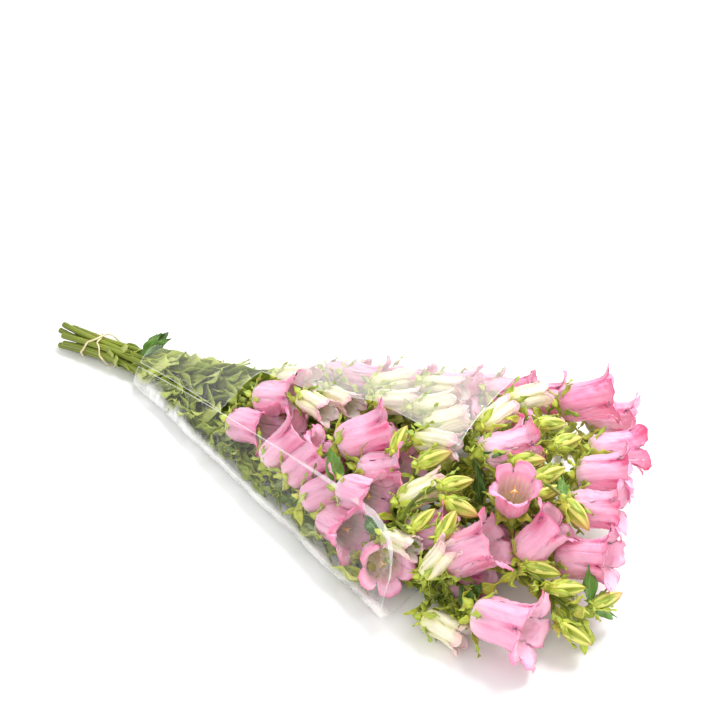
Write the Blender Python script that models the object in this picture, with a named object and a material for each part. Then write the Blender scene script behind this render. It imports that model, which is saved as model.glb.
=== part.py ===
"""A bunch of cut Canterbury bells, Campanula medium, lying on its side.

Ten leafy stems are held near their cut ends by an elastic band and wrapped in a clear cone of film.
Lengths in this file are in centimetres. "Along" counts from the cut ends towards the flowers, "across"
is positive to the bunch's left, and "up" is the height above the surface that it lies on.
Each stem is one body with its leaves, flower stalks, calyces and green buds. Each flower is its own body.
"""

import math
import random

import bmesh
import bpy
import numpy as np

CM = 0.01
ORIGIN_ALONG = 31.0  # the model's origin lies under the middle of the wrap
SHARP_ANGLE = math.radians(70)  # flatter edges are shaded smooth

# Stems
STEM_RADIUS, STEM_TIP_RADIUS = 0.30, 0.14
STEM_SIDES = 6
STEM_STATION = 4.2  # between the rings of a stem's solid
STEM_PITCH, ROW_RISE = 0.66, 0.58  # between neighbours, and between rows, where the band holds them
FIRST_ROW_UP = 0.66
BAND_ZONE_END = 9.0  # the stems run parallel up to here

# Flowers: length, body radius, and how far the lobes reach from the axis
BELL_LENGTH, BELL_RADIUS, BELL_REACH = 4.8, 1.60, 2.22
HALF_OPEN_LENGTH, HALF_OPEN_RADIUS, HALF_OPEN_REACH = 4.0, 1.02, 1.25
BUD_LENGTH, BUD_RADIUS = 2.9, 0.56
COLUMNS = 10  # one for the middle of each of five lobes, and one for each gap between them
PETAL_WALL = 0.10
PISTIL_RADIUS = 0.16
LENGTHS = {"bell": BELL_LENGTH, "half_open": HALF_OPEN_LENGTH, "bud": BUD_LENGTH}

# Calyx: radius of its cup, how far its sepals' tips reach from the axis, and how far along it
CALYX = {"bell": (1.0, 1.85, 1.5), "half_open": (0.68, 1.25, 1.4)}
CALYX_THICKNESS = 0.13
FIT_GAP = 0.04  # between a calyx and the flower that it holds

# Flower stalks
STALK_RADIUS = 0.15
STALK_SIDES = 3
STALK_STEPS = 6
FIRST_STALK = 12.0  # no stalk leaves its stem nearer to its cut end

# Leaves. Shares along a leaf, and its half width there as a share of the greatest
LEAF_STATIONS = (0.0, 0.24, 0.52, 0.80, 1.0)
LEAF_HALF_WIDTHS = (0.0, 0.62, 1.0, 0.66, 0.0)
LEAF_LONGEST, LEAF_SHORTEST = 6.2, 3.2
LEAF_WIDEST, LEAF_NARROWEST = 2.5, 1.15
LEAF_HALF_RIB = 0.06
LEAF_CURL = 0.16  # how far the tip bends back, as a share of the length
LEAF_CUP = 0.22  # how far the edges rise above the midrib, as a share of the half width
LEAF_WAVE = 0.07
LEAF_SPACING = 3.6
LEAF_TRIES = 14
LEAF_ROOM = 0.25  # kept between a leaf and its neighbours
FIRST_LEAF = 10.2
GOLDEN_TURN = 2.4
LEAF_SEED = 23

# Wrap: a cone of film, flat where it lies, with its two flaps left apart on top
WRAP_START, WRAP_END = 12.0, 48.5
WRAP_WALL = 0.07
WRAP_START_HALF_WIDTH, WRAP_SPREAD = 3.0, 0.40
WRAP_START_HEIGHT, WRAP_RISE = 3.6, 0.215
WRAP_START_FOLD, WRAP_FOLD_RISE = 0.9, 0.02  # height of the folds at its two sides
WRAP_ROUND = 0.85
FLAT_SHARE = 0.62  # of the half width lies flat on the surface
WRAP_STATIONS = (12, 15.8, 20, 24.5, 25.9, 31, 36.5, 42, 46, 48.5)
NEAR_FLAP_STEPS, FLOOR_STEPS, FAR_FLAP_STEPS = 2, 9, 6
# Where each flap ends: places along the bunch, and shares of the wrap's half width
NEAR_EDGE = ([12, 15.8, 24.5, 44, 47, 48.5], [-0.68, -0.75, -0.775, -0.80, -0.84, -0.93])
FAR_EDGE = ([12, 24.5, 25.9, 31.5, 37.5, 42, 48.5], [-0.60, -0.69, -0.09, -0.05, 0.0, -0.13, -0.35])

# Elastic band, wound twice round
BAND_RADIUS = 0.085
BAND_MIDDLE, BAND_SWING = 5.3, 1.7
BAND_CROSSING = 0.21  # how much further out the upper strand runs where the two cross
BAND_STATIONS = 34

# Settling the flowers among each other
SETTLE_STEPS = 240
ROOM = 0.20  # kept between neighbours
WRAP_MARGIN = 0.12  # kept to the wrap on top of that, for its flat facets
STEP = 0.30  # share of an overlap that one step clears
TETHER = 0.02  # pull back towards the place in the table
ROLL_SEED = 11

# Balls that stand for a flower of size 1: distance from its base, distance from its axis, radius
LOBE_BALL = (4.55, 1.9, 0.44)
BALLS = {
    "bell": [(0.5, 0, 1.10), (1.6, 0, 1.62), (2.9, 0, 1.68), (3.9, 0, 1.88)] + [LOBE_BALL] * 5,
    "half_open": [(0.4, 0, 0.85), (1.4, 0, 1.20), (2.6, 0, 1.12), (3.55, 0, 1.20)],
    "bud": [(0.2, 0, 0.55), (1.0, 0, 0.74), (2.0, 0, 0.55)],
}

# Each stem: where it is cut, its row and place in the tied bundle, and the points that it passes, to its tip
STEMS = {
    "01": (0.4, (0, -1.0), [(24, -4.0, 0.42), (36, -8.6, 0.55), (46, -11.6, 0.7), (54, -13.4, 1.0)]),
    "02": (1.3, (1, -1.5), [(24, -3.9, 1.3), (36, -7.9, 1.7), (46, -10.8, 2.0), (54, -12.8, 2.8)]),
    "03": (0.0, (1, -0.5),
           [(24, -2.5, 1.4), (36, -5.8, 2), (46, -8.3, 2.7), (56, -9.9, 3.7), (61.5, -10.6, 2.5)]),
    "04": (2.0, (0, 0.0), [(24, -1.5, 0.42), (36, -3.9, 0.7), (46, -6.0, 1.2), (54, -7.4, 2.2)]),
    "05": (0.9, (2, -1.0), [(24, -1.9, 2.5), (36, -3.5, 3.1), (46, -5.0, 3.8), (55.5, -6.3, 4.5)]),
    "06": (0.2, (2, 0.0), [(24, -0.5, 2.4), (36, -0.9, 3.1), (46, -2.1, 4.0), (56.5, -3.4, 4.6)]),
    "07": (1.7, (0, 1.0), [(24, 0.8, 0.42), (36, 0.6, 0.9), (46, 0.3, 1.6), (56, -0.9, 2.6)]),
    "08": (0.7, (2, 1.0), [(24, 1.1, 2.3), (36, 1.9, 3.1), (46, 2.0, 4.0), (56, 1.6, 4.6)]),
    "09": (1.5, (1, 0.5), [(24, 2.6, 1.4), (36, 4.8, 2.0), (46, 6.0, 2.6), (54, 6.6, 3.4)]),
    "10": (1.0, (1, 1.5), [(24, 4.0, 0.55), (36, 7.6, 0.6), (46, 10.2, 0.8), (54, 11.2, 1.4)]),
}

# Each flower: its stem, its stage, where its base is, its heading and pitch in degrees, and its size.
# A heading of 0 is along the bunch, towards the flowers
FLOWERS = [
    ("01", "bell", (26.6, -5.9, 2.4), 28, 12, 0.92),
    ("01", "bell", (36.8, -10.8, 2.3), 62, 24, 0.84),
    ("01", "bell", (39.9, -12.0, 2.0), 2, 6, 0.90),
    ("01", "bell", (43.2, -11.9, 1.8), -52, 28, 0.84),
    ("01", "half_open", (51.2, -15.6, 1.6), 4, -2, 0.90),
    ("01", "bell", (54.8, -14.9, 2.3), 24, 0, 1.0),
    ("02", "bell", (33.8, -8.7, 2.9), 38, 26, 0.92),
    ("02", "bell", (38.8, -10.4, 3.8), -8, 12, 0.84),
    ("02", "half_open", (45.8, -13.2, 4.0), -10, 12, 0.80),
    ("02", "half_open", (50.4, -14.2, 4.4), 60, 30, 0.80),
    ("02", "bell", (51.0, -11.3, 5.3), 36, 6, 0.98),
    ("02", "bell", (50.4, -13.2, 2.3), 38, 4, 0.78),
    ("03", "bell", (31.4, -7.3, 3.2), 42, 24, 0.95),
    ("03", "bell", (40.9, -9.1, 4.7), 35, 26, 1.0),
    ("03", "bell", (47.2, -11.8, 4.8), 30, 16, 0.82),
    ("03", "bell", (54.4, -9.2, 5.2), 50, 14, 0.86),
    ("02", "bud", (48.2, -12.7, 6.2), 66, 34, 0.8),
    ("03", "bud", (56.6, -10.3, 5.0), 10, -8, 0.9),
    ("03", "bud", (58.2, -10.4, 3.9), 24, 2, 0.95),
    ("03", "bud", (59.8, -12.3, 2.5), 2, -8, 0.95),
    ("03", "bud", (61.6, -9.6, 3.2), 50, 14, 0.85),
    ("04", "bell", (26.9, -3.6, 4.0), 34, 22, 0.92),
    ("04", "bell", (37.5, -6.6, 5.4), 56, 24, 1.0),
    ("04", "bud", (50.4, -12.2, 6.4), 86, 32, 0.9),
    ("05", "half_open", (31.8, -3.6, 5.8), -10, 10, 0.95),
    ("03", "half_open", (45.8, -10.2, 6.2), 38, 28, 1.0),
    ("05", "half_open", (43.6, -5.6, 7.8), 10, 14, 0.92),
    ("05", "bell", (53.6, -7.2, 6.4), -60, 66, 0.95),
    ("05", "bud", (43.3, -6.9, 8.0), 82, 30, 0.85),
    ("05", "bud", (46.2, -7.7, 8.0), 46, 22, 1.0),
    ("03", "bud", (48.4, -9.1, 8.0), 42, 10, 0.9),
    ("03", "bud", (49.2, -9.9, 7.4), 4, -8, 1.0),
    ("05", "bud", (56.2, -6.4, 7.2), -4, -16, 1.0),
    ("06", "half_open", (27.3, -1.2, 4.9), 4, 12, 0.95),
    ("06", "half_open", (32.9, -1.5, 6.4), -12, 8, 0.95),
    ("06", "half_open", (38.3, -1.7, 7.5), 32, 8, 1.0),
    ("06", "half_open", (44.7, -3.8, 8.6), 36, 14, 0.95),
    ("06", "bell", (49.2, -3.8, 8.6), 62, 0, 0.92),
    ("06", "bell", (57.0, -7.0, 5.0), 24, -2, 0.94),
    ("06", "bell", (57.0, -4.3, 6.4), 32, 4, 0.88),
    ("06", "bud", (52.3, -4.2, 8.8), 34, -4, 0.9),
    ("06", "bud", (54.1, -4.6, 8.0), 62, 6, 1.05),
    ("07", "half_open", (47.5, -2.3, 9.2), 60, 6, 0.88),
    ("07", "bell", (56.2, -1.2, 7.1), 34, 2, 0.88),
    ("07", "bell", (50.5, -4.2, 2.2), -20, 0, 0.92),
    ("07", "bud", (54.4, -5.4, 7.6), 50, 4, 0.9),
    ("08", "bell", (32.0, 3.3, 5.4), 14, 8, 0.85),
    ("08", "half_open", (36.1, 1.2, 7.0), 46, 0, 1.0),
    ("08", "half_open", (40.5, 1.6, 8.1), 12, 10, 1.0),
    ("08", "half_open", (41.8, -1.6, 8.4), 26, 12, 0.90),
    ("08", "bell", (56.0, 2.2, 7.0), 52, -4, 0.88),
    ("08", "bud", (51.8, 0.4, 9.0), 56, -8, 1.0),
    ("08", "bud", (53.8, -0.4, 8.6), 66, -8, 1.1),
    ("09", "bell", (40.2, 4.6, 6.4), 26, 4, 0.92),
    ("09", "bell", (43.9, 7.2, 5.6), 22, 4, 0.92),
    ("09", "half_open", (48.4, 2.1, 9.2), 60, -2, 0.95),
    ("09", "bell", (51.2, 6.9, 7.2), 38, 10, 1.0),
    ("10", "bell", (28.0, 6.6, 2.8), 18, 6, 0.86),
    ("10", "bell", (33.4, 9.0, 3.0), 20, 6, 0.86),
    ("10", "bell", (39.4, 11.0, 3.0), 24, 6, 0.90),
    ("10", "bell", (45.0, 12.4, 2.6), 22, 4, 0.92),
    ("10", "bell", (51.5, 13.0, 2.6), 12, 6, 0.95),
]

TURNS = random.Random(ROLL_SEED)
ROLLS = [TURNS.uniform(0, 2 * math.pi) for _ in FLOWERS]


# Small geometry


def unit(v):
    return v / np.linalg.norm(v)


def direction(heading, pitch):
    """The way that a heading and a pitch in degrees point."""
    h, p = math.radians(heading), math.radians(pitch)
    return np.array([math.cos(p) * math.cos(h), math.cos(p) * math.sin(h), math.sin(p)])


def cross_frame(axis, roll=0.0):
    """Two directions square to an axis and to each other, turned about it by roll."""
    side = unit(np.cross(axis, (0.0, 0.0, 1.0)) + 1e-9)
    other = np.cross(axis, side)
    first = side * math.cos(roll) + other * math.sin(roll)
    return first, np.cross(axis, first)


def smooth(points, steps):
    """A smooth curve through the points, with this many steps between each two."""
    p = np.array(points, float)
    gap = np.linalg.norm(np.diff(p, axis=0), axis=1)
    at = np.concatenate([[0.0], np.cumsum(gap)])
    slope = np.gradient(p, at, axis=0)
    t = np.linspace(0, 1, steps, endpoint=False)[:, None]
    curve = []
    for i in range(len(p) - 1):
        leave, arrive = slope[i] * gap[i], slope[i + 1] * gap[i]
        curve.append(
            p[i] * (2 * t**3 - 3 * t**2 + 1)
            + leave * (t**3 - 2 * t**2 + t)
            + p[i + 1] * (3 * t**2 - 2 * t**3)
            + arrive * (t**3 - t**2)
        )
    return np.vstack(curve + [p[-1:]])


def curve_between(start, leave, arrive, end, steps):
    """A curve from start to end that two guide points pull out."""
    t = np.linspace(0, 1, steps + 1)[:, None]
    return start * (1 - t) ** 3 + leave * 3 * t * (1 - t) ** 2 + arrive * 3 * t**2 * (1 - t) + end * t**3


def runs(path):
    """The distance along a path of each of its points."""
    return np.concatenate([[0.0], np.cumsum(np.linalg.norm(np.diff(path, axis=0), axis=1))])


def on_path(path, distances):
    """Points on a path at these distances from its start."""
    run = runs(path)
    return np.stack([np.interp(distances, run, path[:, k]) for k in range(3)], axis=-1)


def way_at(path, distance):
    """The way that a path runs at this distance from its start."""
    return unit(on_path(path, distance + 0.5) - on_path(path, distance - 0.5))


def filled(path, spacing):
    """Evenly spaced points on a path."""
    full = runs(path)[-1]
    return on_path(path, np.linspace(0, full, max(2, int(full / spacing))))


def bundle_place(row, place):
    """Where a stem lies across and up in the tied bundle."""
    return place * STEM_PITCH, FIRST_ROW_UP + row * ROW_RISE


def stem_path(name):
    cut, (row, place), passes = STEMS[name]
    across, up = bundle_place(row, place)
    tied = [(cut, across, up), (BAND_ZONE_END * 0.55, across, up), (BAND_ZONE_END, across, up)]
    return smooth(tied + passes, 10)


# The wrap's section


def wrap_size(along):
    """Half width, height, and height of the side folds."""
    d = np.clip(along, WRAP_START, WRAP_END) - WRAP_START
    return (
        WRAP_START_HALF_WIDTH + WRAP_SPREAD * d,
        WRAP_START_HEIGHT + WRAP_RISE * d,
        WRAP_START_FOLD + WRAP_FOLD_RISE * d,
    )


def wrap_top(share, height, fold):
    return fold + (height - fold) * (1 - np.minimum(share, 1.0) ** 2) ** WRAP_ROUND


def wrap_bottom(share, fold):
    return fold * (np.maximum(share - FLAT_SHARE, 0) / (1 - FLAT_SHARE)) ** 2


def wrap_edges(along):
    """Where the near flap and the far flap end, as shares of the half width."""
    return np.interp(along, *NEAR_EDGE), np.interp(along, *FAR_EDGE)


def slant(a, b):
    """The distance to a wall that is a away one way and b away square to it, below zero behind it."""
    behind = (a < 0) | (b < 0)
    a, b = np.maximum(np.abs(a), 1e-6), np.maximum(np.abs(b), 1e-6)
    distance = a * b / np.hypot(a, b)
    return np.where(behind, -distance, distance)


def wrap_room(points):
    """How far each point lies inside the wrap, or above the surface beyond its mouth."""
    along, across, up = points.T
    width, height, fold = wrap_size(along)
    share = np.abs(across) / width
    low = up - wrap_bottom(share, fold)
    high = wrap_top(share, height, fold) - up
    below = FLAT_SHARE + (1 - FLAT_SHARE) * np.sqrt(np.clip(up / fold, 0, 1))
    above = np.sqrt(1 - np.clip((up - fold) / (height - fold), 0, 1) ** (1 / WRAP_ROUND))
    side = np.where(up < fold, below, above) * width - np.abs(across)
    near, far = wrap_edges(along)
    covered = (across / width < near) | (across / width > far)
    to_edge = np.minimum(*[
        np.hypot(across - edge * width, up - wrap_top(np.abs(edge), height, fold)) for edge in (near, far)
    ])
    well_inside = high > 2.5
    roof = np.where(covered | well_inside, slant(high, side), to_edge)
    room = np.minimum(np.minimum(slant(low, side), low), roof)
    room = np.where(along < WRAP_START, 9.0, room)
    past = along - WRAP_END
    beyond = np.minimum(np.hypot(past, np.maximum(room, 0)), up + WRAP_WALL)
    return np.where(past > 0, beyond, room) - WRAP_WALL


# Settling the flowers


def flower_balls():
    """The table's flowers as balls: whose it is, its place along and across the flower's axis, its radius."""
    owner, local, radius = [], [], []
    for i, (_, stage, _, _, _, size) in enumerate(FLOWERS):
        lobes = 0
        for along, off, r in BALLS[stage]:
            turn = 2 * math.pi * lobes / 5
            lobes += 1 if off else 0
            owner.append(i)
            local.append((along * size, off * size * math.cos(turn), off * size * math.sin(turn)))
            radius.append(r * size)
    return np.array(owner), np.array(local), np.array(radius)


def ball_places(base, tip, owner, local):
    places = np.empty((len(owner), 3))
    for i in range(len(base)):
        axis = unit(tip[i] - base[i])
        mine = owner == i
        places[mine] = base[i] + local[mine] @ np.array([axis, *cross_frame(axis, ROLLS[i])])
    return places


def wall_push(balls, radius):
    """How the wrap and the surface below push each ball."""
    nudge = 0.05
    short = (radius + ROOM + WRAP_MARGIN - wrap_room(balls)).clip(0, 0.8)
    slope = [wrap_room(balls + nudge * e) - wrap_room(balls - nudge * e) for e in np.eye(3)]
    slope = np.stack(slope, axis=1)
    return slope / (np.linalg.norm(slope, axis=1, keepdims=True) + 1e-9) * short[:, None]


def settle(stem_points):
    """Base and tip of every flower, moved apart from each other, from the stems and from the wrap."""
    owner, local, radius = flower_balls()
    home_base = np.array([flower[2] for flower in FLOWERS], float)
    axis = np.array([direction(flower[3], flower[4]) for flower in FLOWERS])
    length = np.array([LENGTHS[flower[1]] * flower[5] for flower in FLOWERS])
    home_tip = home_base + axis * length[:, None]
    base, tip = home_base.copy(), home_tip.copy()
    share = (local[:, 0] / length[owner])[:, None]
    reach = np.where(owner[:, None] != owner[None], radius[:, None] + radius[None] + ROOM, 0)
    stem_reach = radius[:, None] + STEM_RADIUS + 1.4 * ROOM
    rows = np.arange(len(owner))
    for _ in range(SETTLE_STEPS):
        balls = ball_places(base, tip, owner, local)
        apart = balls[:, None] - balls[None]
        distance = np.linalg.norm(apart, axis=2) + 1e-9
        push = (apart * ((reach - distance).clip(0) / distance)[..., None]).sum(1) * 0.5
        apart = balls[:, None] - stem_points[None]
        distance = np.linalg.norm(apart, axis=2) + 1e-9
        overlap = (stem_reach - distance).clip(0)
        worst = overlap.argmax(1)
        push += apart[rows, worst] * (overlap / distance)[rows, worst][:, None]
        push += wall_push(balls, radius)
        move_base, move_tip = np.zeros_like(base), np.zeros_like(tip)
        np.add.at(move_base, owner, push * (1 - share))
        np.add.at(move_tip, owner, push * share)
        base += STEP * move_base + TETHER * (home_base - base)
        tip += STEP * move_tip + TETHER * (home_tip - tip)
        middle, half = (base + tip) / 2, (tip - base) / 2
        half *= (length / 2 / np.linalg.norm(half, axis=1))[:, None]
        base, tip = middle - half, middle + half
    return base, tip


# Growing stalks and leaves into the room that is left


class Taken:
    """The room that is taken, as balls, each with the number of what it belongs to."""

    def __init__(self):
        self.points, self.radii, self.whose = np.zeros((0, 3)), np.zeros(0), np.zeros(0, int)

    def add(self, points, radius, number):
        points = np.atleast_2d(points)
        self.points = np.vstack([self.points, points])
        self.radii = np.concatenate([self.radii, np.full(len(points), radius)])
        self.whose = np.concatenate([self.whose, np.full(len(points), number)])

    def room(self, points, radius, skip):
        """The least clearance round these points to everything but the skipped numbers."""
        keep = ~np.isin(self.whose, skip)
        distance = np.linalg.norm(points[:, None] - self.points[keep][None], axis=2)
        return float((distance - self.radii[keep][None]).min()) - radius


def stem_number(name):
    return int(name)


def flower_number(index):
    return 100 + index


def stalk_choices(path, base, axis, size):
    """Curves from the stem to a flower's base, the plainest first."""
    foot = base - axis * 0.30 * size
    nearest = runs(path)[np.linalg.norm(path - foot, axis=1).argmin()]
    for sway in (0.0, 0.3, 0.6, 0.9, 1.2):
        for back in (1.6, 2.4, 0.8, 3.4, 4.4, 0.0, 5.6, 7.0, 9.0):
            root = max(nearest - back, FIRST_STALK)
            start = on_path(path, root)
            reach = np.linalg.norm(foot - start)
            first, second = cross_frame(unit(foot - start))
            for turn in range(8 if sway else 1):
                angle = turn * math.pi / 4
                aside = (first * math.cos(angle) + second * math.sin(angle)) * sway * reach
                leave = start + way_at(path, root) * reach * 0.4 + aside
                arrive = foot - axis * reach * 0.4 + aside * 0.5
                yield curve_between(start, leave, arrive, foot, STALK_STEPS)


def grow_stalks(paths, base, tip, taken):
    """A stalk for each flower, by the first way that is clear, or else by the clearest."""
    stalks = []
    for i, (stem, _, _, _, _, size) in enumerate(FLOWERS):
        axis = unit(tip[i] - base[i])
        best, best_room = None, -math.inf
        for curve in stalk_choices(paths[stem], base[i], axis, size):
            line = filled(curve[::2], 0.3)
            from_behind = float(((curve[-3:-1] - base[i]) @ axis).max()) < -0.3
            room = min(
                taken.room(line, STALK_RADIUS, [stem_number(stem), flower_number(i)]),
                taken.room(line[:-3], STALK_RADIUS, [stem_number(stem)]) if from_behind else -1.0,
                float(wrap_room(line).min()) - STALK_RADIUS,
            )
            if room > best_room:
                best, best_room = curve, room
            if room > ROOM / 2:
                break
        taken.add(filled(best[::2], 0.3), STALK_RADIUS, stem_number(stem))
        stalks.append(best)
    return stalks


def leaf_grid(leaf):
    """Points of a leaf's left edge, midrib and right edge at each station, from its root to its tip."""
    root, ahead, face, length, width, phase = leaf
    side = np.cross(ahead, face)
    rows = []
    for k, (t, w) in enumerate(zip(LEAF_STATIONS, LEAF_HALF_WIDTHS)):
        middle = root + ahead * length * t - face * length * LEAF_CURL * t * t
        half = width / 2 * w
        wave = LEAF_WAVE * length * w * (1 if (k + phase) % 2 else -1)
        rise = LEAF_CUP * half
        left = middle - side * half + face * (rise + wave)
        right = middle + side * half + face * (rise - wave)
        rows.append((left, middle, right))
    return rows


def leaf_points(leaf):
    """Points all over a leaf outside its root, for judging what is near."""
    rows = np.array(leaf_grid(leaf))
    t = np.linspace(0, len(rows) - 1, 13)
    low = np.minimum(t.astype(int), len(rows) - 2)
    part = (t - low)[:, None, None]
    fine = rows[low] * (1 - part) + rows[low + 1] * part
    halves = (fine[:, :-1] + fine[:, 1:]) / 2
    every = np.concatenate([fine, halves], axis=1).reshape(-1, 3)
    return every[np.linalg.norm(every - leaf[0], axis=1) > 0.7]


def leaf_size(along):
    """Length and width of a leaf: broad low on the stem, small among the flowers."""
    t = min(max((along - FIRST_LEAF) / 42, 0), 1)
    return LEAF_LONGEST + (LEAF_SHORTEST - LEAF_LONGEST) * t, LEAF_WIDEST + (LEAF_NARROWEST - LEAF_WIDEST) * t


def grow_leaves(paths, taken):
    """Leaves up each stem in a spiral, each at the first seeded try that is clear of its neighbours."""
    draw = random.Random(LEAF_SEED)
    leaves = {name: [] for name in STEMS}
    for name, path in paths.items():
        full = runs(path)[-1]
        distance = FIRST_LEAF - STEMS[name][0] + draw.uniform(0, 2.0)
        turn = draw.uniform(0, 2 * math.pi)
        while distance < full - 1.0:
            centre, ahead = on_path(path, distance), way_at(path, distance)
            length, width = leaf_size(centre[0])
            first, second = cross_frame(ahead)
            for attempt in range(LEAF_TRIES):
                shrink = 1.0 - 0.04 * attempt
                angle = turn + draw.uniform(-0.3, 0.3) + 0.9 * attempt * (1 if attempt % 2 else -1)
                lean = math.radians(draw.uniform(16, 44))
                out = first * math.cos(angle) + second * math.sin(angle)
                way = ahead * math.cos(lean) + out * math.sin(lean)
                face = ahead * math.sin(lean) - out * math.cos(lean)
                leaf = (centre, way, face, length * shrink, width * shrink, attempt)
                points = leaf_points(leaf)
                inside = float(wrap_room(points).min()) > 0.12
                if inside and taken.room(points, LEAF_HALF_RIB, [stem_number(name)]) > LEAF_ROOM:
                    leaves[name].append(leaf)
                    taken.add(points, 0.30, stem_number(name))
                    break
            distance += LEAF_SPACING
            turn += GOLDEN_TURN
    return leaves


def lay_out():
    """Everything's place: stem paths, flower bases and tips, stalks and leaves."""
    paths = {name: stem_path(name) for name in STEMS}
    base, tip = settle(np.vstack([filled(path, 0.8) for path in paths.values()]))
    taken = Taken()
    for name, path in paths.items():
        taken.add(filled(path, 0.3), STEM_RADIUS, stem_number(name))
    owner, local, radius = flower_balls()
    for i, place, r in zip(owner, ball_places(base, tip, owner, local), radius):
        taken.add(place, r, flower_number(i))
    stalks = grow_stalks(paths, base, tip, taken)
    leaves = grow_leaves(paths, taken)
    return paths, base, tip, stalks, leaves


# Solids. Each is a list of points and a list of faces


def tube(points, radii, sides):
    """A closed tube along the points, its section carried along without twisting."""
    ways = np.gradient(points, axis=0)
    side = cross_frame(unit(ways[0]))[0]
    verts, faces = [], []
    for point, way, r in zip(points, ways, radii):
        way = unit(way)
        side = unit(side - way * (side @ way))
        other = np.cross(way, side)
        for j in range(sides):
            a = 2 * math.pi * j / sides
            verts.append(point + (side * math.cos(a) + other * math.sin(a)) * r)
    for i in range(len(points) - 1):
        for j in range(sides):
            a, b = i * sides + j, i * sides + (j + 1) % sides
            faces.append((a, b, b + sides, a + sides))
    faces.append(tuple(reversed(range(sides))))
    faces.append(tuple(range((len(points) - 1) * sides, len(points) * sides)))
    return verts, faces


def stem_solid(path):
    """A slim stem that thins towards its tip."""
    full = runs(path)[-1]
    distances = np.linspace(0, full, max(8, int(full / STEM_STATION)))
    radii = [STEM_RADIUS + (STEM_TIP_RADIUS - STEM_RADIUS) * (d / full) ** 3 for d in distances]
    return tube(on_path(path, distances), radii, STEM_SIDES)


def leaf_solid(leaf):
    """A thin blade, thickest at the midrib, with its two faces split alike."""
    rows = leaf_grid(leaf)
    rib = leaf[2] * LEAF_HALF_RIB
    around = (1, 2, 3, 0)
    verts, faces = [rows[0][1]], []
    for left, middle, right in rows[1:-1]:
        verts += [left, middle + rib, right, middle - rib]
    verts.append(rows[-1][1])
    for a, b in zip(range(4), around):
        faces.append((0, 1 + b, 1 + a))
    for k in range(len(rows) - 3):
        for a, b in zip(range(4), around):
            p, q = 1 + 4 * k + a, 1 + 4 * k + b
            same_way = a in (0, 2)
            faces += [(p, q, q + 4), (p, q + 4, p + 4)] if same_way else [(p, q, p + 4), (q, q + 4, p + 4)]
    last, end = 1 + 4 * (len(rows) - 3), len(verts) - 1
    for a, b in zip(range(4), around):
        faces.append((last + a, last + b, end))
    return verts, faces


def in_place(local, base, tip, roll, scale):
    """Points given as distance from the axis, angle and distance along it, put where a flower is."""
    axis = unit(tip - base)
    first, second = cross_frame(axis, roll)
    points = []
    for r, a, z in local:
        points.append(base + (first * r * math.cos(a) + second * r * math.sin(a) + axis * z) * scale)
    return points


def ring(radius, along, lift=0.0, ridge=0.0):
    """A ring of points. Each second one stands out by ridge, a share of the radius, and is lifted by lift."""
    points = []
    for j in range(COLUMNS):
        sign = 1 if j % 2 == 0 else -1
        points.append((radius * (1 + sign * ridge), j * 2 * math.pi / COLUMNS, along + sign * lift))
    return points


def stack(rings):
    """Rings joined in order. A ring of one point closes the stack on the axis."""
    local, faces, starts = [], [], []
    for points in rings:
        starts.append(len(local))
        local += points
    for i in range(len(rings) - 1):
        a, b = starts[i], starts[i + 1]
        for j in range(COLUMNS):
            k = (j + 1) % COLUMNS
            if len(rings[i]) == 1:
                faces.append((a, b + k, b + j))
            elif len(rings[i + 1]) == 1:
                faces.append((a + j, a + k, b))
            elif j % 2 == 0:
                faces += [(a + j, a + k, b + j), (a + k, b + k, b + j)]
            else:
                faces += [(a + j, a + k, b + k), (a + j, b + k, b + j)]
    return local, faces


def bell_rings():
    """An open bell with five flared lobes, a hollow inside, and the pistil standing on its floor."""
    long, wide = BELL_LENGTH, BELL_RADIUS
    return stack([
        [(0, 0, 0)],
        ring(wide * 0.55, 0.0),
        ring(wide * 0.93, long * 0.26, ridge=0.03),
        ring(wide * 1.03, long * 0.68, ridge=0.03),
        ring((BELL_REACH + wide * 1.12) / 2, long * 0.925, lift=long * 0.075, ridge=0.10),
        ring(wide * 1.03 - PETAL_WALL, long * 0.68, ridge=0.03),
        ring(PISTIL_RADIUS, long * 0.20),
        [(0, 0, long * 0.72)],
    ])


def half_open_rings():
    """A half-open bell, its lobes still upright round a narrow mouth."""
    long, wide = HALF_OPEN_LENGTH, HALF_OPEN_RADIUS
    return stack([
        [(0, 0, 0)],
        ring(wide * 0.55, 0.0),
        ring(wide * 0.98, long * 0.30, ridge=0.04),
        ring((HALF_OPEN_REACH + wide) / 2, long * 0.93, lift=long * 0.07, ridge=0.09),
        ring(wide * 0.80, long * 0.66, ridge=0.03),
        [(0, 0, long * 0.50)],
    ])


def bud_rings():
    """A pointed green bud with five ribs, open at its foot, where the stalk joins it."""
    return stack([
        ring(BUD_RADIUS * 0.8, 0.0, ridge=0.12),
        ring(BUD_RADIUS * 1.12, BUD_LENGTH * 0.30, ridge=0.16),
        ring(BUD_RADIUS * 0.80, BUD_LENGTH * 0.62, ridge=0.14),
        [(0, 0, BUD_LENGTH)],
    ])


def calyx_star(inner, tip_radius, tip_along):
    """A shallow cup with five pointed sepals, open at the back, where the stalk joins it."""
    step = 2 * math.pi / COLUMNS
    local, faces = [], []
    for j in range(5):
        local.append((inner, 2 * j * step, -FIT_GAP))
        local.append((inner + CALYX_THICKNESS, (2 * j + 1) * step, -FIT_GAP - CALYX_THICKNESS))
    for j in range(5):
        local.append((inner * 0.96, (2 * j + 1) * step, -FIT_GAP))
        local.append((tip_radius, (2 * j + 1) * step, tip_along))
    middle = len(local)
    local.append((0, 0, -FIT_GAP))
    for j in range(5):
        notch, outer, within, tip = 2 * j, 2 * j + 1, COLUMNS + 2 * j, COLUMNS + 2 * j + 1
        after = (notch + 2) % COLUMNS
        faces += [(middle, notch, within), (middle, within, after)]
        faces += [(notch, outer, tip), (outer, after, tip), (notch, tip, within), (within, tip, after)]
    return local, faces


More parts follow.
